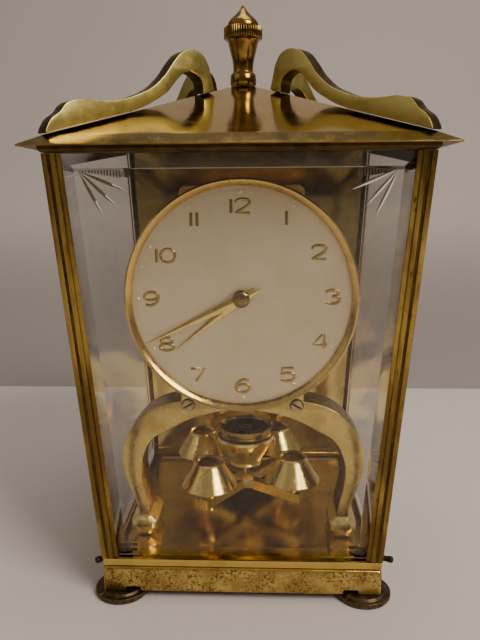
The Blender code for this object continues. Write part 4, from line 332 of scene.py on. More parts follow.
def soften(points, radius, steps=3, closed=False):
    """Round the corners of an outline with short curves."""
    count = len(points)
    out = []
    for i, p in enumerate(points):
        if not closed and i in (0, count - 1):
            out.append(tuple(p))
            continue
        here = Vector(p)
        before, after = Vector(points[i - 1]), Vector(points[(i + 1) % count])
        back, on = before - here, after - here
        if back.length < 1e-6 or on.length < 1e-6:
            out.append(tuple(p))
            continue
        reach = min(radius, back.length * 0.45, on.length * 0.45)
        a, b = here + back.normalized() * reach, here + on.normalized() * reach
        for k in range(steps + 1):
            t = k / steps
            out.append(tuple((1 - t) ** 2 * a + 2 * t * (1 - t) * here + t * t * b))
    return out


def smooth(points, spans=6):
    """A curve through the points."""
    last = len(points) - 1
    out = []
    for i in range(last):
        a, b, c, d = (Vector(points[min(max(i + k, 0), last)]) for k in (-1, 0, 1, 2))
        for k in range(spans):
            t = k / spans
            out.append(tuple(0.5 * ((2 * b) + (c - a) * t + (2 * a - 5 * b + 4 * c - d) * t * t
                                    + (3 * b - a - 3 * c + d) * t ** 3)))
    out.append(tuple(points[-1]))
    return out


def bridge(rings, closed=False, bm=None):
    """Faces between rings of equal length; the last joins the first, or else both ends are capped."""
    bm = bm or bmesh.new()
    rows = [[bm.verts.new(p) for p in ring] for ring in rings]
    count = len(rows[0])
    pairs = list(zip(rows, rows[1:])) + ([(rows[-1], rows[0])] if closed else [])
    for low, high in pairs:
        for i in range(count):
            j = (i + 1) % count
            bm.faces.new((low[i], low[j], high[j], high[i]))
    if not closed:
        bm.faces.new(rows[0])
        bm.faces.new(rows[-1])
    return bm


def lathe(profile, steps, at=(0, 0), along="Z", closed=False, knurl=None, bm=None):
    """Profile of (radius, height) turned about an axis; knurl is (low, high, count, depth, least radius)."""
    rings = []
    for radius, height in profile:
        ring = []
        for i in range(steps):
            turn = 2 * pi * i / steps
            r = max(radius, 0.0)
            if knurl:
                low, high, teeth, depth, least = knurl
                if low <= height <= high and r > least:
                    r -= depth * (0.5 + 0.5 * cos(teeth * turn)) ** 1.5
            x, y = r * cos(turn), r * sin(turn)
            if along == "Z":
                ring.append((at[0] + x, at[1] + y, height))
            else:
                ring.append((at[0] + x, height, at[1] + y))
        rings.append(ring)
    return bridge(rings, closed, bm)


def square_ring(half, z, corner, steps=5):
    """A square with rounded corners at a height."""
    corner = min(corner, half * 0.999)
    ring = []
    for quarter, (sx, sy) in enumerate(((1, 1), (-1, 1), (-1, -1), (1, -1))):
        for k in range(steps + 1):
            turn = quarter * QUARTER + QUARTER * k / steps
            ring.append((sx * (half - corner) + corner * cos(turn),
                         sy * (half - corner) + corner * sin(turn), z))
    return ring


def square_loft(profile, corner, closed=False):
    """A square turned into a solid along a profile of (half width, height)."""
    return bridge([square_ring(h, z, corner) for h, z in profile], closed)


def curve_mesh(curve, outlines):
    """The mesh that a curve makes of (points, closed) outlines."""
    for points, closed in outlines:
        spline = curve.splines.new("POLY")
        spline.points.add(len(points) - 1)
        for point, (x, z) in zip(spline.points, points):
            point.co = (x, z, 0, 1)
        spline.use_cyclic_u = closed
    holder = add_object("curve", curve)
    mesh = evaluated(holder)
    bm = bmesh.new()
    bm.from_mesh(mesh)
    bpy.data.objects.remove(holder)
    bpy.data.curves.remove(curve)
    bpy.data.meshes.remove(mesh)
    return bm


def prism(outline, near, far, bevel):
    """An outline of (x, z) filled between two depths, its edges rounded and its sides marked 1."""
    curve = bpy.data.curves.new("outline", "CURVE")
    curve.dimensions, curve.fill_mode = "2D", "BOTH"
    curve.extrude = (far - near) / 2 - bevel
    curve.bevel_depth, curve.bevel_resolution, curve.offset = bevel, 2, -bevel
    bm = curve_mesh(curve, [(outline, True)])
    bm.normal_update()
    for face in bm.faces:
        face.material_index = int(abs(face.normal.z) < 0.3)
    return moved(bm, (0, (near + far) / 2, 0), QUARTER, "X")


def block(low, high, edge):
    """A box with softened edges."""
    bm = bmesh.new()
    new = bmesh.ops.create_cube(bm, size=1.0)["verts"]
    size = [h - l for l, h in zip(low, high)]
    middle = [(h + l) / 2 for l, h in zip(low, high)]
    for v in new:
        v.co = Vector([m + c * s for m, c, s in zip(middle, v.co, size)])
    edges = {e for v in new for e in v.link_edges}
    bmesh.ops.bevel(bm, geom=list(edges), offset=edge, segments=2, affect="EDGES", profile=0.5)
    return bm


def tube(path, radius, steps):
    """A round rod along points, of one radius or of one for each point."""
    points = [Vector(p) for p in path]
    rings = []
    for i, p in enumerate(points):
        on = (points[min(i + 1, len(points) - 1)] - points[max(i - 1, 0)]).normalized()
        side = on.cross(Vector((0, 0, 1)))
        if side.length < 1e-3:
            side = on.cross(Vector((0, 1, 0)))
        side.normalize()
        up = side.cross(on)
        r = radius[i] if isinstance(radius, (list, tuple)) else radius
        rings.append([p + side * r * cos(2 * pi * k / steps)
                      + up * r * sin(2 * pi * k / steps) for k in range(steps)])
    return bridge(rings)


def moved(bm, place, turn, axis):
    """Turn a mesh about an axis through the origin, then move it to its place."""
    bmesh.ops.transform(bm, verts=bm.verts, matrix=Matrix.Translation(place) @ Matrix.Rotation(turn, 4, axis))
    return bm


def add_to(bm, other):
    """Move one mesh into another."""
    mesh = bpy.data.meshes.new("joined")
    other.to_mesh(mesh)
    other.free()
    bm.from_mesh(mesh)
    bpy.data.meshes.remove(mesh)


def carve(ob, *cutters):
    """Cut meshes in millimetres out of a piece, leaving no modifier behind."""
    for bm in cutters:
        mesh = to_metres("cutter", bm)
        cutter = add_object("cutter", mesh)
        modifier = ob.modifiers.new("cut", "BOOLEAN")
        modifier.solver, modifier.operation, modifier.object = "EXACT", "DIFFERENCE", cutter
        bpy.context.view_layer.update()
        result = evaluated(ob)
        ob.modifiers.remove(modifier)
        old, ob.data = ob.data, result
        name = old.name
        bpy.data.meshes.remove(old)
        result.name = name
        bpy.data.objects.remove(cutter)
        bpy.data.meshes.remove(mesh)
    ob.data.shade_smooth()
    ob.data.set_sharp_from_angle(angle=radians(SHARP_ANGLE))


# Shared sizes

PLINTH_HALF, PLINTH_BOTTOM, PLINTH_TOP = 61.4, 4.0, 15.8
CASE_HEAD_Z, CASE_FLARE, CASE_HEIGHT = 192.7, 11.8, 176.9
SLANT = CASE_FLARE / CASE_HEIGHT
RAIL_BOTTOM, RAIL_TOP = 16.1, 19.5
PANE_BOTTOM, PANE_TOP = 19.8, 192.4
EAVE_HALF, EAVE_Z, KINK_HALF, KINK_Z, FLAT_HALF, APEX_Z = 80.1, 195.2, 72.0, 199.2, 5.0, 226.0
PANE_INSET = 2.1
BRACKET_HALF, BRACKET_TOP = 3.3, 247.1
FOOT_OFFSET = 54.4
CATCH_X, CATCH_Y = 53.0, -50.6
ARCH_SPAN, ARCH_FOOT_Z, ARCH_CROWN_Z, ARCH_FRONT, ARCH_BACK = 47.0, 17.5, 82.6, -36.0, -18.0
ARCH_SCREW_X, ARCH_SCREW_Z = 24.8, 82.6
DIAL_Z, DIAL_FRONT, DIAL_RADIUS, DOT_RING = 132.8, -39.7, 49.2, 45.4
NUMERAL_STROKE, NUMERAL_DEPTH = 0.66, 0.36
HAND_HALF = 1.75
WEIGHT_RING, WEIGHT_AZIMUTH = 29.0, 55
CORNERS = (("front_left", -1, -1), ("front_right", 1, -1), ("rear_left", -1, 1), ("rear_right", 1, 1))


def case_half(z):
    return PLINTH_HALF + (z - PLINTH_TOP) * SLANT


def hip_z(run):
    """Height of the roof's hip at a distance from the axis, along the diagonal."""
    half = run / HIP
    if half > KINK_HALF:
        return EAVE_Z + (EAVE_HALF - half) * (KINK_Z - EAVE_Z) / (EAVE_HALF - KINK_HALF)
    return KINK_Z + (KINK_HALF - half) * (APEX_Z - KINK_Z) / (KINK_HALF - FLAT_HALF)


# Plinth, feet, catch levers

def make_plinth():
    wall, ceiling, curl = 1.6, PLINTH_TOP - 1.6, 1.8
    edge = [(PLINTH_HALF - curl + curl * sin(t * QUARTER / 8),
             PLINTH_TOP - curl + curl * cos(t * QUARTER / 8)) for t in range(9)]
    profile = ([(0.01, PLINTH_TOP), (30, PLINTH_TOP)] + edge + [(PLINTH_HALF, 4.4), (PLINTH_HALF - 0.3, PLINTH_BOTTOM),
               (PLINTH_HALF - wall, PLINTH_BOTTOM), (PLINTH_HALF - wall, ceiling), (0.01, ceiling)])
    bm = square_loft(profile, 1.1)
    for face in bm.faces:
        face.material_index = int(face.calc_center_median().z > PLINTH_TOP - 1.1)
    plinth = publish("plinth_shell", bm, PLINTH, "base", ["plinth"], edge=POLISHED)
    carve(plinth, *[block((left, -PLINTH_HALF - 2, 2), (right, -PLINTH_HALF + 3, 6.2), 0.4)
                    for left, right in ((-51.5, -44.8), (44.8, 51.5))])
    for name, sx, sy in CORNERS:
        boss = lathe(soften([(2.5, 8.5), (4.5, 8.5), (4.5, ceiling + 0.3), (2.5, ceiling + 0.3)], 0.3, closed=True),
                     48, (sx * FOOT_OFFSET, sy * FOOT_OFFSET), closed=True)
        publish("boss_" + name, boss, PLINTH, "base")
    for side, label in ((-1, "left"), (1, "right")):
        head = lathe(soften([(0.01, 20.2), (2.5, 20.2), (2.5, 19.0), (1.1, 19.0), (1.1, 15.0), (0.01, 15.0)], 0.3),
                     40, (side * CATCH_X, CATCH_Y))
        publish("catch_stud_" + label, head, BRONZE, "base")


def make_feet():
    profile = soften([(0.01, 13.0), (2.2, 13.0), (2.2, 3.7), (9.8, 3.7), (10.4, 2.7), (11.95, 2.65), (12.2, 2.4),
                      (12.2, 0.75), (11.6, 0.0), (7.5, 0.0), (7.2, 0.35), (0.01, 0.35)], 0.22)
    for name, sx, sy in CORNERS:
        bm = lathe(profile, 300, (sx * FOOT_OFFSET, sy * FOOT_OFFSET), knurl=(0.5, 2.5, 75, 0.28, 11.8))
        publish("knurled_foot_" + name, bm, BRONZE, "foot_" + name, ["foot_" + name], sharp=50)


def make_levers():
    for label, side, rest in (("left", -1, 37), ("right", 1, 18)):
        pivot = Vector((side * CATCH_X, CATCH_Y, 0))
        turn = radians(rest)
        tongue_turn = turn + radians(125)
        handle = Vector((side * cos(turn), -sin(turn), 0))
        bm = lathe(soften([(1.4, 16.1), (3.0, 16.1), (3.0, 18.7), (1.4, 18.7)], 0.3, closed=True), 48,
                   (pivot.x, pivot.y), closed=True)
        middle = pivot + Vector((0, 0, 17.4))
        reach = [2.2, 8, 12.2, 12.7, 13.3, 14.3, 14.9, 15.2]
        width = [1.2, 1.2, 1.2, 1.35, 1.45, 1.45, 1.1, 0.3]
        add_to(bm, tube([middle + handle * r for r in reach], width, 24))
        heading = atan2(-sin(tongue_turn), side * cos(tongue_turn))
        tongue = block((1.9, -1.6, 17.5), (8.0, 1.6, 18.5), 0.25)
        for face in tongue.faces:
            face.material_index = 1
        add_to(bm, moved(tongue, pivot, heading, "Z"))
        publish("catch_" + label + "_rod", bm, BLACK, "catch_" + label, ["catch_lever_" + label],
                edge=POLISHED)


# Case: rails, posts, glass, roof

def make_rails():
    low, high = case_half(RAIL_BOTTOM), case_half(RAIL_TOP)
    wall = low - 1.5
    lip, lip_top, step_top = 57.2, 17.2, RAIL_BOTTOM + 0.3
    profile = soften([(wall, RAIL_TOP), (high - 0.3, RAIL_TOP), (low, step_top), (low - 0.7, step_top),
                      (low - 0.7, RAIL_BOTTOM), (lip, RAIL_BOTTOM), (lip, lip_top), (wall, lip_top)], 0.12, closed=True)
    rail = publish("rail_low", square_loft(profile, 0.9, closed=True), POLISHED, "case", ["bottom_rail"])
    carve(rail, *[block((left, -60.6, 15), (right, -42.9, 19.0), 0.15) for left, right in ((-64, -55), (55, 64))])
    inner, outer = 66.5, 74.2
    top = hip_z(outer * HIP) - 1.3
    profile = soften([(inner, top), (outer, top), (outer, CASE_HEAD_Z + 0.9), (outer - 0.9, CASE_HEAD_Z),
                      (inner, CASE_HEAD_Z)], 0.3, closed=True)
    # The top rail under the eave takes the dark brass: painted shade.
    publish("rail_high", square_loft(profile, 0.8, closed=True), SHADE, "case", ["top_rail"])


def make_posts():
    """Four moulded posts that lean outward with the case, each with a dark strip of painted shade in both its grooves.
    """
    tip = 0.6
    half = [(tip, 0), (2.0, 0), (2.15, 0.12), (2.3, 0.7), (3.2, 0.7), (3.35, 0.12), (3.5, 0), (5.15, 0), (5.3, 0.15),
            (5.3, 1.1), (7.05, 1.1), (7.2, 1.25), (7.2, 1.65), (7.05, 1.8), (5.3, 1.8)]
    corner = [(tip - tip * sin(t * QUARTER / 4), tip - tip * cos(t * QUARTER / 4)) for t in range(1, 4)]
    outline = half + [(5.3, 5.3)] + [(v, u) for u, v in reversed(half)] + list(reversed(corner))
    groove_shade = ((2.15, 0.45), (3.35, 0.45), (3.35, 0.75), (2.15, 0.75))
    heights = [PANE_BOTTOM + (PANE_TOP - PANE_BOTTOM) * k / 12 for k in range(13)]
    ends = (PANE_BOTTOM + 0.4, PANE_TOP - 0.4)
    for name, sx, sy in CORNERS:
        def rings(section, levels):
            return [[(sx * (case_half(z) - u), sy * (case_half(z) - v), z) for u, v in section] for z in levels]

        publish("corner_post_" + name, bridge(rings(outline, heights)), POST, "case", ["post_" + name], sharp=30)
        # Dark strips of painted shade in the bottoms of the post's two grooves.
        bm = bridge(rings(groove_shade, ends))
        bridge(rings([(v, u) for u, v in groove_shade], ends), bm=bm)
        publish("post_groove_shade_" + name, bm, SHADE, "case")


def pane_point(x, z):
    """A point on the front plane of the front pane, from across and height."""
    return (x, PANE_INSET - case_half(z), z)


def make_rays():
    """Wheel-cut star rays in the two upper corners of the front pane: flanks dark with painted shade, and painted white
    glints along part of one flank.
    """
    fans = {"left": ((-59.9, 186.0), ((-42.0, 178.5), (-46.1, 172.9), (-51.7, 169.8)), -43.7, 0.62, 1.0),
            "right": ((59.6, 186.0), ((42.5, 178.5), (48.0, 172.5), (51.7, 168.8)), 44.5, 0.06, 1.3)}
    edge_proud, ridge_proud = Vector((0, -0.05, 0)), Vector((0, -0.14, 0))
    for label, (root, tips, level_end, glint_from, wide) in fans.items():
        bm = bmesh.new()
        for tip in tips:
            a, b = Vector(root), Vector(tip)
            on = (b - a).normalized()
            across = Vector((-on.y, on.x))
            for flank in (-1, 1):
                rows, shares = [], (0.0, 0.12, 0.3, 0.5, 0.7, 0.88, 1.0)
                for t, w in zip(shares, (0.02, 0.2, 0.42, 0.55, 0.5, 0.28, 0.02)):
                    p = a.lerp(b, t)
                    reach = w * (wide if flank > 0 else 1.3)
                    edge, ridge = p + across * (flank * reach), p + across * (flank * 0.004)
                    rows.append([Vector(pane_point(*edge)) + edge_proud,
                                 Vector(pane_point(*ridge)) + ridge_proud,
                                 Vector(pane_point(*ridge)) + Vector((0, 0.05 + 0.5 * w, 0))])
                before = set(bm.faces)
                bridge(rows, bm=bm)
                # Past a share along the ray, one flank takes the painted glint; the rest takes painted shade.
                for face in set(bm.faces) - before:
                    middle = face.calc_center_median()
                    share = (Vector((middle.x, middle.z)) - a).length / (b - a).length
                    face.material_index = int(flank > 0 and share > glint_from)
        # Level ticks along the top, in the dark painted shade.
        ticks = 13
        for k in range(ticks):
            t = (k + 1.5) / (ticks + 1)
            x = root[0] + (level_end - root[0]) * t
            low, high = pane_point(x, root[1] - 0.2 - 2.7 * t), pane_point(x, root[1] + 0.2)
            rows = [[Vector(p) + Vector(shift) for shift in ((-0.28, -0.05, 0), (0.28, -0.05, 0), (0, 0.2, 0))]
                    for p in (low, high)]
            bridge(rows, bm=bm)
        publish("star_cut_" + label, bm, RAY_SHADE, "case", sharp=20, edge=RAY_GLINT)


def make_rear_hem():
    """A thin rolled hem along the foot of the rear panel."""
    z = 20.6
    x, y = case_half(z) - 6.4, case_half(z) - 3.6
    publish("rear_hem", tube([(-x, y, z), (0, y, z), (x, y, z)], 0.5, 16), POLISHED, "case")


def make_roof():
    """A hipped sheet: skirt below the kink darker with painted shade, bright above it, and its underside brown with
    painted shade and a reddish painted reflection.
    """
    thick = 1.0

    def under(half):
        return hip_z(half * HIP) - thick

    profile = ([(0.01, APEX_Z), (FLAT_HALF - 0.5, APEX_Z - 0.02), (FLAT_HALF + 0.8, APEX_Z - 0.5)]
               + [(FLAT_HALF + (KINK_HALF - FLAT_HALF) * t, APEX_Z + (KINK_Z - APEX_Z) * t) for t in (0.2, 0.5, 0.8)]
               + [(KINK_HALF - 1.4, KINK_Z + 0.58), (KINK_HALF, KINK_Z + 0.02), (KINK_HALF + 1.4, KINK_Z - 0.66),
                  (EAVE_HALF - 0.6, EAVE_Z + 0.28), (EAVE_HALF - 0.15, EAVE_Z - 0.02), (EAVE_HALF, EAVE_Z - 0.3),
                  (EAVE_HALF - 0.15, EAVE_Z - 0.58), (EAVE_HALF - thick, under(EAVE_HALF - thick)),
                  (KINK_HALF, under(KINK_HALF)), (FLAT_HALF, APEX_Z - thick), (0.01, APEX_Z - thick)])
    bm = square_loft(profile, 0.7)
    # Faces below the kink take the darker skirt brass: painted shade.
    for face in bm.faces:
        face.material_index = int(face.calc_center_median().z < KINK_Z - 0.3)
    roof = publish("roof_sheet", bm, ROOF, "case", ["roof"], sharp=24, edge=SKIRT_SHADE)
    # Faces turned downward take the brown underside brass: painted shade with a reddish painted reflection.
    roof.data.materials.append(UNDERSIDE_SHADE)
    for face in roof.data.polygons:
        if face.normal.z < -0.3:
            face.material_index = 2


def make_finial():
    """A turned finial whose knurled band has painted shade in its grooves."""
    band_low, band_high, groove = 247.5, 251.9, 8.55
    dome = smooth([(0.05, 262.3), (0.55, 261.7), (0.85, 261.2), (1.1, 260.7), (1.5, 260.1), (2.2, 259.2), (3.2, 258.2),
                   (4.4, 257.1), (5.5, 256.1), (6.4, 255.1), (7.0, 254.1), (7.25, 253.2), (7.3, 252.5)], 4)
    band = [(8.5, 252.3), (8.9, band_high), (8.9, band_low), (8.5, 247.1), (7.7, 247.0)]
    stem = smooth([(7.6, 246.9), (7.1, 246.0), (6.4, 243.3), (5.7, 240.5), (5.0, 237.8), (4.65, 234.3),
                   (4.65, 232.8)], 5)
    collar = [(5.1, 232.4), (5.3, 232.1), (5.2, 231.8), (5.8, 231.6), (6.0, 231.3), (6.0, 227.5), (5.7, 226.9),
              (5.5, 226.3), (1.5, 226.3), (1.5, 219.5), (0.01, 219.5)]
    bm = lathe(dome + band + stem + collar, 384, knurl=(247.4, 252.0, 48, 0.7, 8.7))
    # Groove faces take the dark brass: painted shade.
    for face in bm.faces:
        middle = face.calc_center_median()
        face.material_index = int(band_low < middle.z < band_high and hypot(middle.x, middle.y) < groove)
    publish("finial_turned", bm, FINIAL, "case", ["finial"], sharp=50, edge=SHADE)


def make_brackets():
    """Four swan necks on the roof's hips, from points in shares of the eave's reach and of their rise."""
    reach, rise = EAVE_HALF * HIP, BRACKET_TOP - EAVE_Z
    crest = ((0.903, 0.089), (0.897, 0.127), (0.879, 0.187), (0.847, 0.239), (0.821, 0.303), (0.772, 0.337),
             (0.697, 0.341), (0.611, 0.366), (0.539, 0.420), (0.478, 0.484), (0.422, 0.586), (0.386, 0.682),
             (0.345, 0.776), (0.294, 0.821), (0.242, 0.802), (0.212, 0.728), (0.197, 0.628), (0.183, 0.518))
    under = ((0.239, 0.501), (0.242, 0.568), (0.260, 0.618), (0.300, 0.649), (0.336, 0.620), (0.366, 0.563),
             (0.410, 0.464), (0.460, 0.395), (0.508, 0.339), (0.570, 0.285))
    crest = [(reach * r, EAVE_Z + rise * h) for r, h in crest]
    under = [(reach * r, EAVE_Z + rise * h) for r, h in under]
    crest[-1] = (crest[-1][0], hip_z(crest[-1][0]) + 0.3)
    under[0] = (under[0][0], hip_z(under[0][0]) + 0.3)
    base = [(r, hip_z(r) + 0.3) for r in (0.615 * reach, crest[0][0] - 0.8)]
    outline = smooth(crest, 5) + smooth(under, 5) + base
    for name, azimuth in (("rear_right", 45), ("rear_left", 135), ("front_left", 225), ("front_right", 315)):
        bm = prism(outline, -BRACKET_HALF, BRACKET_HALF, 0.3)
        # Their sides take the dark brass: painted shade.
        publish("swan_neck_" + name, moved(bm, (0, 0, 0), radians(azimuth), "Z"), CAST, "case",
                ["bracket_" + name], sharp=44, edge=SHADE)


# Arch, dial and hands

def make_arch():
    """The casting, from points in shares of its half span and of its rise, with its feet, its two screws, and painted
    shade in the screws' counterbores and slots.
    """
    rise = ARCH_CROWN_Z - ARCH_FOOT_Z
    outer = ((0.609, 1.028), (0.768, 1.000), (0.906, 0.954), (1.013, 0.891), (1.106, 0.810), (1.168, 0.722),
             (1.194, 0.633), (1.196, 0.545), (1.174, 0.459), (1.132, 0.361), (1.089, 0.284), (1.057, 0.192),
             (1.053, 0.080))
    inner = ((0.947, 0.080), (0.945, 0.192), (0.962, 0.267), (0.991, 0.356), (1.013, 0.461), (1.011, 0.544),
             (0.985, 0.616), (0.943, 0.691), (0.870, 0.753), (0.713, 0.817), (0.583, 0.869), (0.417, 0.916),
             (0.210, 0.950), (0.0, 0.962))
    outer = [(ARCH_SPAN * x, ARCH_FOOT_Z + rise * z) for x, z in outer]
    inner = [(ARCH_SPAN * x, ARCH_FOOT_Z + rise * z) for x, z in inner]
    outer[0] = (28.0, outer[0][1])
    right = [(0, 96.0), (28.0, 96.0)] + smooth(outer, 5) + smooth(inner, 5)
    left = [(-x, z) for x, z in reversed(right) if x > 0.001]
    # The casting's sides take the darker side brass: painted shade.
    arch = publish("arch_casting", prism(right + left, ARCH_FRONT, ARCH_BACK, 0.4), ARCH, "base", ["movement_arch"],
                   sharp=44, edge=ARCH_SIDE_SHADE)
    carve(arch, block((-27.9, -31.0, 50.0), (27.9, -15.0, 99.0), 0.2))
    for side, label in ((-1, "left"), (1, "right")):
        rings = []
        for y, inset in ((-38.2, 4.2), (-38.15, 3.2), (-37.95, 2.3), (-37.3, 1.3), (-36.5, 0.5), (-35.6, 0.0),
                         (-17.3, 0.0), (-17.0, 0.3)):
            half, low, high, cut = 6.2 - inset, ARCH_FOOT_Z + inset, 28.2 - inset, 3.2 - inset * 0.45
            rings.append([(side * ARCH_SPAN + u, y, z) for u, z in
                          ((-half + cut, low), (half - cut, low), (half, low + cut), (half, high - cut),
                           (half - cut, high), (-half + cut, high), (-half, high - cut), (-half, low + cut))])
        # The feet take the brighter hub brass instead of the casting's own: painted light on their fronts.
        publish("arch_foot_" + label, bridge(rings), HUB, "base", sharp=12)
        # A dark ring of painted shade in the screw's counterbore.
        counterbore_shade = lathe([(1.8, -36.02), (3.0, -36.02), (3.1, -36.12), (3.0, -36.22), (1.8, -36.22)], 64,
                       (side * ARCH_SCREW_X, ARCH_SCREW_Z), "Y", closed=True)
        publish("screw_counterbore_shade_" + label, counterbore_shade, RECESS_SHADE, "base")
        head = lathe(soften([(0.01, -37.6), (2.7, -37.6), (2.7, -36.3), (1.4, -36.3), (1.4, -24.9), (0.01, -24.9)],
                            0.3), 64, (side * ARCH_SCREW_X, ARCH_SCREW_Z), "Y")
        screw = publish("arch_screw_head_" + label, head, SCREW, "base", ["arch_screw_" + label])
        cut_at = (side * ARCH_SCREW_X, 0, ARCH_SCREW_Z), radians(side * 30), "Y"
        carve(screw, moved(block((-3.5, -38.5, -0.45), (3.5, -36.7, 0.45), 0.02), *cut_at))
        # A dark strip of painted shade in the bottom of the slot.
        shade = moved(block((-2.4, -36.75, -0.44), (2.4, -36.6, 0.44), 0.02), *cut_at)
        publish("screw_slot_shade_" + label, shade, RECESS_SHADE, "base")


def make_dial():
    back = DIAL_FRONT + 0.8
    profile = soften([(3.6, DIAL_FRONT), (DIAL_RADIUS, DIAL_FRONT), (DIAL_RADIUS, back), (3.6, back)], 0.15,
                     closed=True)
    profile = [(3.6, DIAL_FRONT)] + [(r, DIAL_FRONT) for r in (12, 24, 36, 44)] + profile[4:]
    bm = lathe(profile, 180, (0, DIAL_Z), "Y", closed=True)
    for x, z in ((-22.08, DIAL_Z + 27.6), (22.08, DIAL_Z + 27.6), (8.28, 98.4)):
        add_to(bm, lathe([(0.01, back - 0.1), (1.2, back - 0.1), (1.2, -29.1), (0.01, -29.1)], 24, (x, z), "Y"))
    publish("dial_plate", bm, DIAL, "base", ["dial"])


def make_bezel():
    profile = soften([(49.8, -42.5), (50.5, -42.7), (51.1, -42.0), (51.1, -38.2), (49.5, -38.2), (49.5, -40.0),
                      (47.7, -40.0), (47.8, -40.6), (48.6, -41.5)], 0.35, 4, closed=True)
    publish("bezel_ring", lathe(profile, 288, (0, DIAL_Z), "Y", closed=True), BEZEL, "base", ["bezel"], sharp=60)


def oval(middle, wide, tall, steps=28):
    return [(wide * cos(2 * pi * k / steps), middle + tall * sin(2 * pi * k / steps))
            for k in range(steps + 1)]


def digit_strokes(digit):
    """Centre lines of a wide plain digit, in shares of half its width and half its height."""
    six = smooth([(0.85, 0.86), (0.15, 1.0), (-0.62, 0.62), (-0.97, -0.05), (-0.85, -0.66), (-0.25, -1.0), (0.5, -0.93),
                  (0.98, -0.45), (0.82, 0.02), (0.2, 0.2), (-0.55, 0.06), (-0.93, -0.35)])
    return {
        "0": [oval(0, 1, 1)],
        "1": [[(0, -1), (0, 1)]],
        "2": [smooth([(-0.95, 0.45), (-0.72, 0.84), (0, 1.0), (0.76, 0.84), (0.95, 0.4), (0.55, -0.08), (-0.3, -0.6),
                      (-0.92, -1.0)]) + [(1.0, -1.0)]],
        "3": [smooth([(-0.9, 0.72), (-0.3, 1.0), (0.42, 0.98), (0.9, 0.66), (0.72, 0.26), (0.0, 0.08)]),
              smooth([(0.0, 0.08), (0.82, -0.06), (1.0, -0.5), (0.6, -0.92), (-0.2, -1.0), (-1.0, -0.72)])],
        "4": [[(0.6, -1), (0.6, 1), (0.3, 1), (-1, -0.5), (1, -0.5)]],
        "5": [[(0.85, 1), (-0.75, 1)] + smooth([(-0.88, 0.08), (0.0, 0.24), (0.75, 0.1), (1.0, -0.36), (0.6, -0.9),
                                                (-0.15, -1.0), (-1.0, -0.74)])],
        "6": [six],
        "7": [[(-1, 1), (1, 1), (-0.25, -1)]],
        "8": [oval(0.52, 0.8, 0.48), oval(-0.48, 1, 0.52)],
        "9": [[(-x, -z) for x, z in six]]}[digit]


def glyph(strokes):
    """Rounded strokes in millimetres as one raised mesh, flattened to NUMERAL_DEPTH."""
    curve = bpy.data.curves.new("numeral", "CURVE")
    curve.dimensions = "3D"
    curve.bevel_depth, curve.bevel_resolution, curve.use_fill_caps = NUMERAL_STROKE, 3, True
    outlines = []
    for stroke in strokes:
        closed = (Vector(stroke[0]) - Vector(stroke[-1])).length < 0.01
        outlines.append((stroke[:-1] if closed else stroke, closed))
    bm = curve_mesh(curve, outlines)
    for v in bm.verts:
        v.co.z *= NUMERAL_DEPTH / NUMERAL_STROKE
    return bm


def make_markings():
    """Twelve numerals, each at its own distance from the middle, and sixty dots, all slightly turned to the left."""
    wide, tall, lean = 3.1, 2.9, radians(-0.6)
    distances = {2: 38.8, 5: 40.0, 6: 39.8, 7: 40.0, 8: 39.2, 10: 37.6}
    for hour in range(1, 13):
        turn = radians(hour * 30 - (1.4 if hour == 8 else 0)) + lean
        run = distances.get(hour, 39.4)
        shifts = {10: (-3.9, 1.05), 11: (-1.3, 1.3), 12: (-3.8, 1.1)}.get(hour, (0.0,))
        strokes = [[(shift + wide * x, tall * z) for x, z in stroke]
                   for digit, shift in zip(str(hour), shifts) for stroke in digit_strokes(digit)]
        place = (run * sin(turn), DIAL_FRONT - 0.05, DIAL_Z + run * cos(turn))
        bm = moved(glyph(strokes), place, QUARTER, "X")
        publish("numeral_%d" % hour, bm, NUMERAL, "base", sharp=60)
    bm = bmesh.new()
    for minute in range(60):
        turn = radians(minute * 6) + lean
        radius = 0.72 if minute % 5 == 0 else 0.46
        lathe([(0.01, DIAL_FRONT - radius * 0.5), (radius * 0.6, DIAL_FRONT - radius * 0.38),
               (radius, DIAL_FRONT - 0.05), (radius, DIAL_FRONT + 0.05), (0.01, DIAL_FRONT + 0.05)], 16,
              (DOT_RING * sin(turn), DIAL_Z + DOT_RING * cos(turn)), "Y", bm=bm)
    publish("hour_dots", bm, DOTS, "base", sharp=50)


def make_hand(name, angle, reach, tail, y_back, bore, body):
    """A pointed blade with a raised rib, from shares of its length and of its greatest half width."""
    stations = ((-1.0, 0.04), (-0.75, 0.42), (-0.4, 1.0), (-0.15, 1.3), (0.04, 1.34), (0.12, 1.2), (0.3, 0.98),
                (0.5, 0.75), (0.7, 0.5), (0.88, 0.29), (1.0, 0.16))
    rings = []
    for share, width in stations:
        run = share * (tail if share < 0 else reach)
        w, peak = HAND_HALF * width, 0.4 + 0.4 * width
        section = [(-w, 0), (w, 0), (w + 0.02, 0.2), (w - 0.05, 0.36), (0.12 * width, peak), (-0.12 * width, peak),
                   (-w + 0.05, 0.36), (-w - 0.02, 0.2)]
        rings.append([(side, -height, run) for side, height in section])
    bm = moved(bridge(rings), (0, y_back, DIAL_Z), radians(angle), "Y")
    hub = soften([(bore, y_back - 0.75), (3.2, y_back - 0.75), (3.4, y_back - 0.5), (3.4, y_back), (bore, y_back)],
                 0.15, closed=True)
    add_to(bm, lathe(hub, 72, (0, DIAL_Z), "Y", closed=True))
    publish(name + "_gilt", bm, GILT, body, [name], sharp=24)


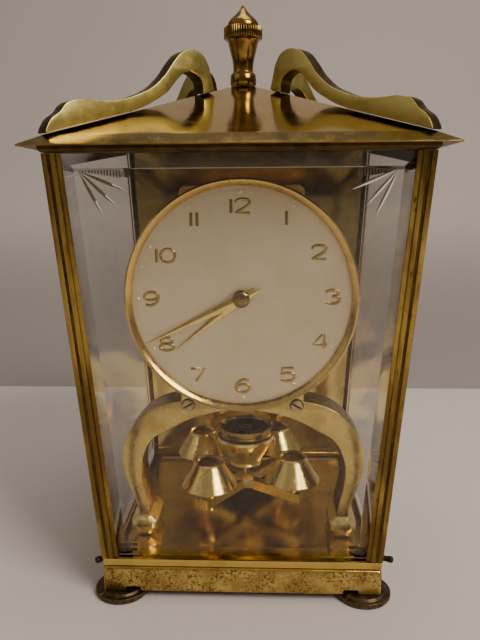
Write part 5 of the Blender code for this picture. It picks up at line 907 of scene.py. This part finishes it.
def make_hands():
    hour_back = DIAL_FRONT - 0.7
    minute_back = hour_back - 1.6
    make_hand("hour_hand", 231.6, 36.4, 7.6, hour_back, 2.3, "hour")
    make_hand("minute_hand", 244.3, 46.8, 10.2, minute_back, 1.3, "centre")
    back, radius, rise = minute_back - 1.1, 3.8, 1.7
    dome = [(radius * sin(t * QUARTER / 10), back - 2.1 + rise * (1 - cos(t * QUARTER / 10)))
            for t in range(11)]
    dome[0] = (0.01, dome[0][1])
    profile = dome + [(radius, back - 0.1), (3.6, back), (0.01, back)]
    publish("hand_nut_dome", lathe(profile, 120, (0, DIAL_Z), "Y", knurl=(back - 0.42, back - 0.05, 30, 0.2, 3.6)),
            NUT, "centre", ["hand_nut"], sharp=50)


# Pendulum

def make_weights():
    profile = [(0.01, 48.9), (3.0, 48.95), (5.2, 49.1), (5.9, 49.3), (6.3, 49.75), (6.55, 50.0), (7.1, 50.0),
               (7.3, 49.8), (7.3, 49.15), (7.05, 48.9), (7.0, 48.75)]
    profile += [(7.0 + 6.35 * t, 48.7 - 10.4 * t) for t in (0.05, 0.3, 0.6, 0.9, 1.0)]
    profile += [(13.5, 38.1), (13.5, 37.75), (13.3, 37.5), (3.9, 37.5), (3.7, 37.3), (3.7, 31.7), (3.5, 31.5),
                (1.2, 31.5), (1.2, 26.2), (2.4, 26.2), (2.5, 26.1), (2.5, 24.7), (2.4, 24.6), (0.01, 24.6)]
    for i, name in enumerate(("rear_right", "rear_left", "front_left", "front_right")):
        turn = radians(WEIGHT_AZIMUTH + 90 * i)
        at = (WEIGHT_RING * cos(turn), WEIGHT_RING * sin(turn))
        publish("bob_" + name, lathe(profile, 144, at), WEIGHT, "weight_" + name, ["weight_" + name])


def make_regulator():
    profile = [(1.9, 57.8), (3.9, 57.8), (8.0, 57.9), (11.8, 58.35), (12.6, 58.6), (12.9, 59.4), (13.1, 59.7),
               (13.4, 59.8), (13.8, 59.75), (14.0, 59.5), (14.0, 58.65), (13.8, 58.4), (13.4, 58.3), (13.4, 57.7),
               (12.9, 57.3), (12.9, 56.9), (13.4, 56.5), (13.4, 55.1), (13.1, 54.8), (1.9, 54.8)]
    bm = lathe(profile, 360, closed=True, knurl=(58.5, 59.7, 90, 0.3, 13.7))
    publish("regulator_knurled", bm, DISC, "regulator", ["regulator_disc"], sharp=50)


def make_hub():
    cone = smooth([(14.7, 53.0), (14.6, 52.5), (13.7, 52.3), (12.9, 49.8), (11.5, 46.8), (9.8, 43.8), (8.3, 41.3),
                   (7.7, 40.4)], 4)
    profile = ([(0.01, 52.1), (1.9, 52.1), (1.9, 54.5), (14.4, 54.5), (14.7, 54.2)] + cone
               + [(8.1, 40.1), (8.3, 39.6), (8.1, 39.1), (7.4, 38.8), (1.4, 38.7), (0.9, 38.3), (0.7, 37.0),
                  (0.7, 31.6), (0.7, 31.22), (0.5, 31.22), (0.5, 28.9), (0.01, 28.9)])
    publish("hub_turned", lathe(profile, 144), HUB, "pendulum", ["pendulum_hub"])
    bm = lathe(soften([(0.01, 58.9), (3.6, 58.9), (3.6, 58.1), (1.6, 58.1), (1.6, 52.4), (0.01, 52.4)], 0.15), 64)
    for side in (-1, 1):
        add_to(bm, tube([(side * 1.9, 0, 58.7), (side * 1.9, 0, 65), (side * 1.9, 0, 72.2)], 0.5, 20))
    add_to(bm, block((-2.7, -1.5, 72.0), (2.7, 1.5, 76.0), 0.3))
    hook = publish("hook_pins", bm, BRONZE, "pendulum", ["pendulum_hook"])
    carve(hook, lathe([(0.01, 74.2), (1.1, 74.2), (1.1, 78), (0.01, 78)], 24))


def make_arm_bosses():
    """A square boss over the middle of the cross of arms, with a small turned cap below."""
    boss = square_loft([(0.01, 33.2), (1.2, 33.15), (2.8, 32.7), (4.2, 31.8), (5.1, 30.5), (5.4, 29.0), (5.4, 27.0),
                        (5.1, 26.6), (0.01, 26.6)], 1.2)
    publish("arm_boss", boss, HUB, "pendulum")
    profile = soften([(1.0, 26.7), (3.4, 26.7), (3.4, 25.6), (1.0, 25.6)], 0.25, closed=True)
    publish("arm_cap", lathe(profile, 64, closed=True), WEIGHT, "pendulum")


# Carried CAD nodes

def dress(name, material, edge):
    """Give a carried node its material, and round its edges where they show."""
    ob = frame["nodes"][name]
    for slot in ob.material_slots:
        slot.material = material
    if not ob.material_slots:
        ob.data.materials.append(material)
    if edge:
        weld = ob.modifiers.new("weld", "WELD")
        weld.merge_threshold = 0.00001
        bevel = ob.modifiers.new("edges", "BEVEL")
        bevel.width, bevel.segments, bevel.limit_method = edge * MM, 2, "ANGLE"
        bevel.angle_limit = radians(32)
        bevel.harden_normals = True


def dress_frame():
    for material, edge, names in (
            (GLASS, 0.0, ("glass_front", "glass_left", "glass_right")),
            (SHEET, 0.15, ("rear_panel",)),
            (FLOOR, 0.15, ("floor_plate",)),
            (PLATE, 0.15, ("front_plate", "back_plate", "suspension_saddle", "suspension_fork")),
            (HUB, 0.3, ("pendulum_arms",)),
            (WHEEL, 0.0, ("second_wheel", "third_wheel", "centre_arbor", "fourth_wheel", "escape_wheel",
                          "cannon_pinion", "minute_wheel", "hour_wheel", "barrel")),
            (STEEL, 0.0, ("suspension_spring", "anchor", "winding_arbor", "ratchet_wheel", "click"))):
        for name in names:
            dress(name, material, edge)


# Room, light and camera

TABLE_BACK, ROOM_HALF = 0.2535, 3
BACKDROP = ((TABLE_BACK, 0.0), (0.40, 0.012), (0.55, 0.035), (0.70, 0.075), (0.84, 0.14), (0.95, 0.24), (1.02, 0.37),
            (1.06, 0.54), (1.08, 0.75), (1.09, 1.0), (1.09, 1.9))


def make_room():
    """A table, and a cloth that rises behind it in one sweep, far enough back for a camera in between."""
    cloth = plain("pale_cloth", (0.64, 0.575, 0.54), (0.60, 0.54, 0.505), 0.85, 120, 1.2)
    # The wall paper is darker towards its foot: painted shade.
    paper = plain("pale_wall", (0.605, 0.535, 0.50), (0.575, 0.505, 0.47), 0.9, 300, foot=0.52)
    for name, rows, material in (("floor", ((-4, 0), (TABLE_BACK, 0)), cloth), ("wall", BACKDROP, paper)):
        mesh = bpy.data.meshes.new(name)
        mesh.from_pydata([(x, y, z) for y, z in rows for x in (-ROOM_HALF, ROOM_HALF)], [],
                         [(2 * i, 2 * i + 1, 2 * i + 3, 2 * i + 2) for i in range(len(rows) - 1)])
        mesh.shade_smooth()
        mesh.materials.append(material)
        add_object(name, mesh)


def area_light(name, place, target, size, power, colour):
    light = bpy.data.lights.new(name, "AREA")
    light.shape, light.size, light.size_y = "RECTANGLE", size[0], size[1]
    light.energy, light.color = power, colour
    ob = add_object(name, light)
    ob.location = place
    ob.rotation_euler = (Vector(target) - Vector(place)).to_track_quat("-Z", "Y").to_euler()


def make_light():
    """Three lamps, and a room graded from dark below to pale above."""
    area_light("key", (0.75, -0.75, 0.95), (0, 0, 0.1), (0.6, 0.6), 15, (1.0, 0.94, 0.85))
    area_light("fill", (-0.9, -0.5, 0.7), (0, 0, 0.12), (0.8, 0.8), 0.6, (1.0, 0.93, 0.86))
    area_light("top", (0.1, 0.1, 1.3), (0, 0, 0.1), (0.9, 0.6), 4.0, (1.0, 0.95, 0.89))
    world = bpy.data.worlds.new("room")
    world.use_nodes = True
    nodes, links = world.node_tree.nodes, world.node_tree.links
    nodes.clear()
    place, split, rise, ramp, back, out = [nodes.new("ShaderNode" + kind) for kind in (
        "TexCoord", "SeparateXYZ", "Math", "ValToRGB", "Background", "OutputWorld")]
    rise.operation = "MULTIPLY_ADD"
    rise.inputs[1].default_value, rise.inputs[2].default_value = 0.5, 0.5
    back.inputs[1].default_value = 1.0
    links.new(place.outputs["Generated"], split.inputs[0])
    links.new(split.outputs["Z"], rise.inputs[0])
    for before, after in ((rise, ramp), (ramp, back), (back, out)):
        links.new(before.outputs[0], after.inputs[0])
    stops = ((0.0, (0.02, 0.016, 0.012)), (0.47, (0.05, 0.04, 0.028)), (0.57, (0.15, 0.125, 0.095)),
             (0.8, (0.27, 0.24, 0.205)), (1.0, (0.36, 0.325, 0.29)))
    elements = ramp.color_ramp.elements
    for element, (position, colour) in zip(elements, (stops[0], stops[-1])):
        element.position, element.color = position, (*colour, 1)
    for position, colour in stops[1:-1]:
        elements.new(position).color = (*colour, 1)
    bpy.context.scene.world = world


def make_camera():
    """The camera of the photograph, fitted by the plinth, the eave, the posts and the dial."""
    tilt, roll, turn = 0.1964, 0.0067, -0.0411
    place, focal_pixels, frame_pixels, sensor = (0.010456, -0.3109, 0.1768), 629.28, 640, 36.0
    forward = Vector((sin(turn) * cos(tilt), cos(turn) * cos(tilt), -sin(tilt)))
    right = Vector((cos(turn), -sin(turn), 0))
    down = forward.cross(right)
    across = right * cos(roll) + down * sin(roll)
    below = down * cos(roll) - right * sin(roll)
    camera = bpy.data.cameras.new("view")
    camera.sensor_width, camera.lens = sensor, focal_pixels / frame_pixels * sensor
    camera.clip_start, camera.clip_end = 0.01, 20
    ob = add_object("view", camera)
    axes = Matrix((across, -below, -forward)).transposed().to_4x4()
    ob.matrix_world = Matrix.Translation(place) @ axes
    bpy.context.scene.camera = ob


make_plinth()
make_feet()
make_levers()
make_rails()
make_posts()
make_rays()
make_rear_hem()
make_roof()
make_finial()
make_brackets()
make_arch()
make_dial()
make_bezel()
make_markings()
make_hands()
make_weights()
make_regulator()
make_hub()
make_arm_bosses()
dress_frame()
make_room()
make_light()
make_camera()
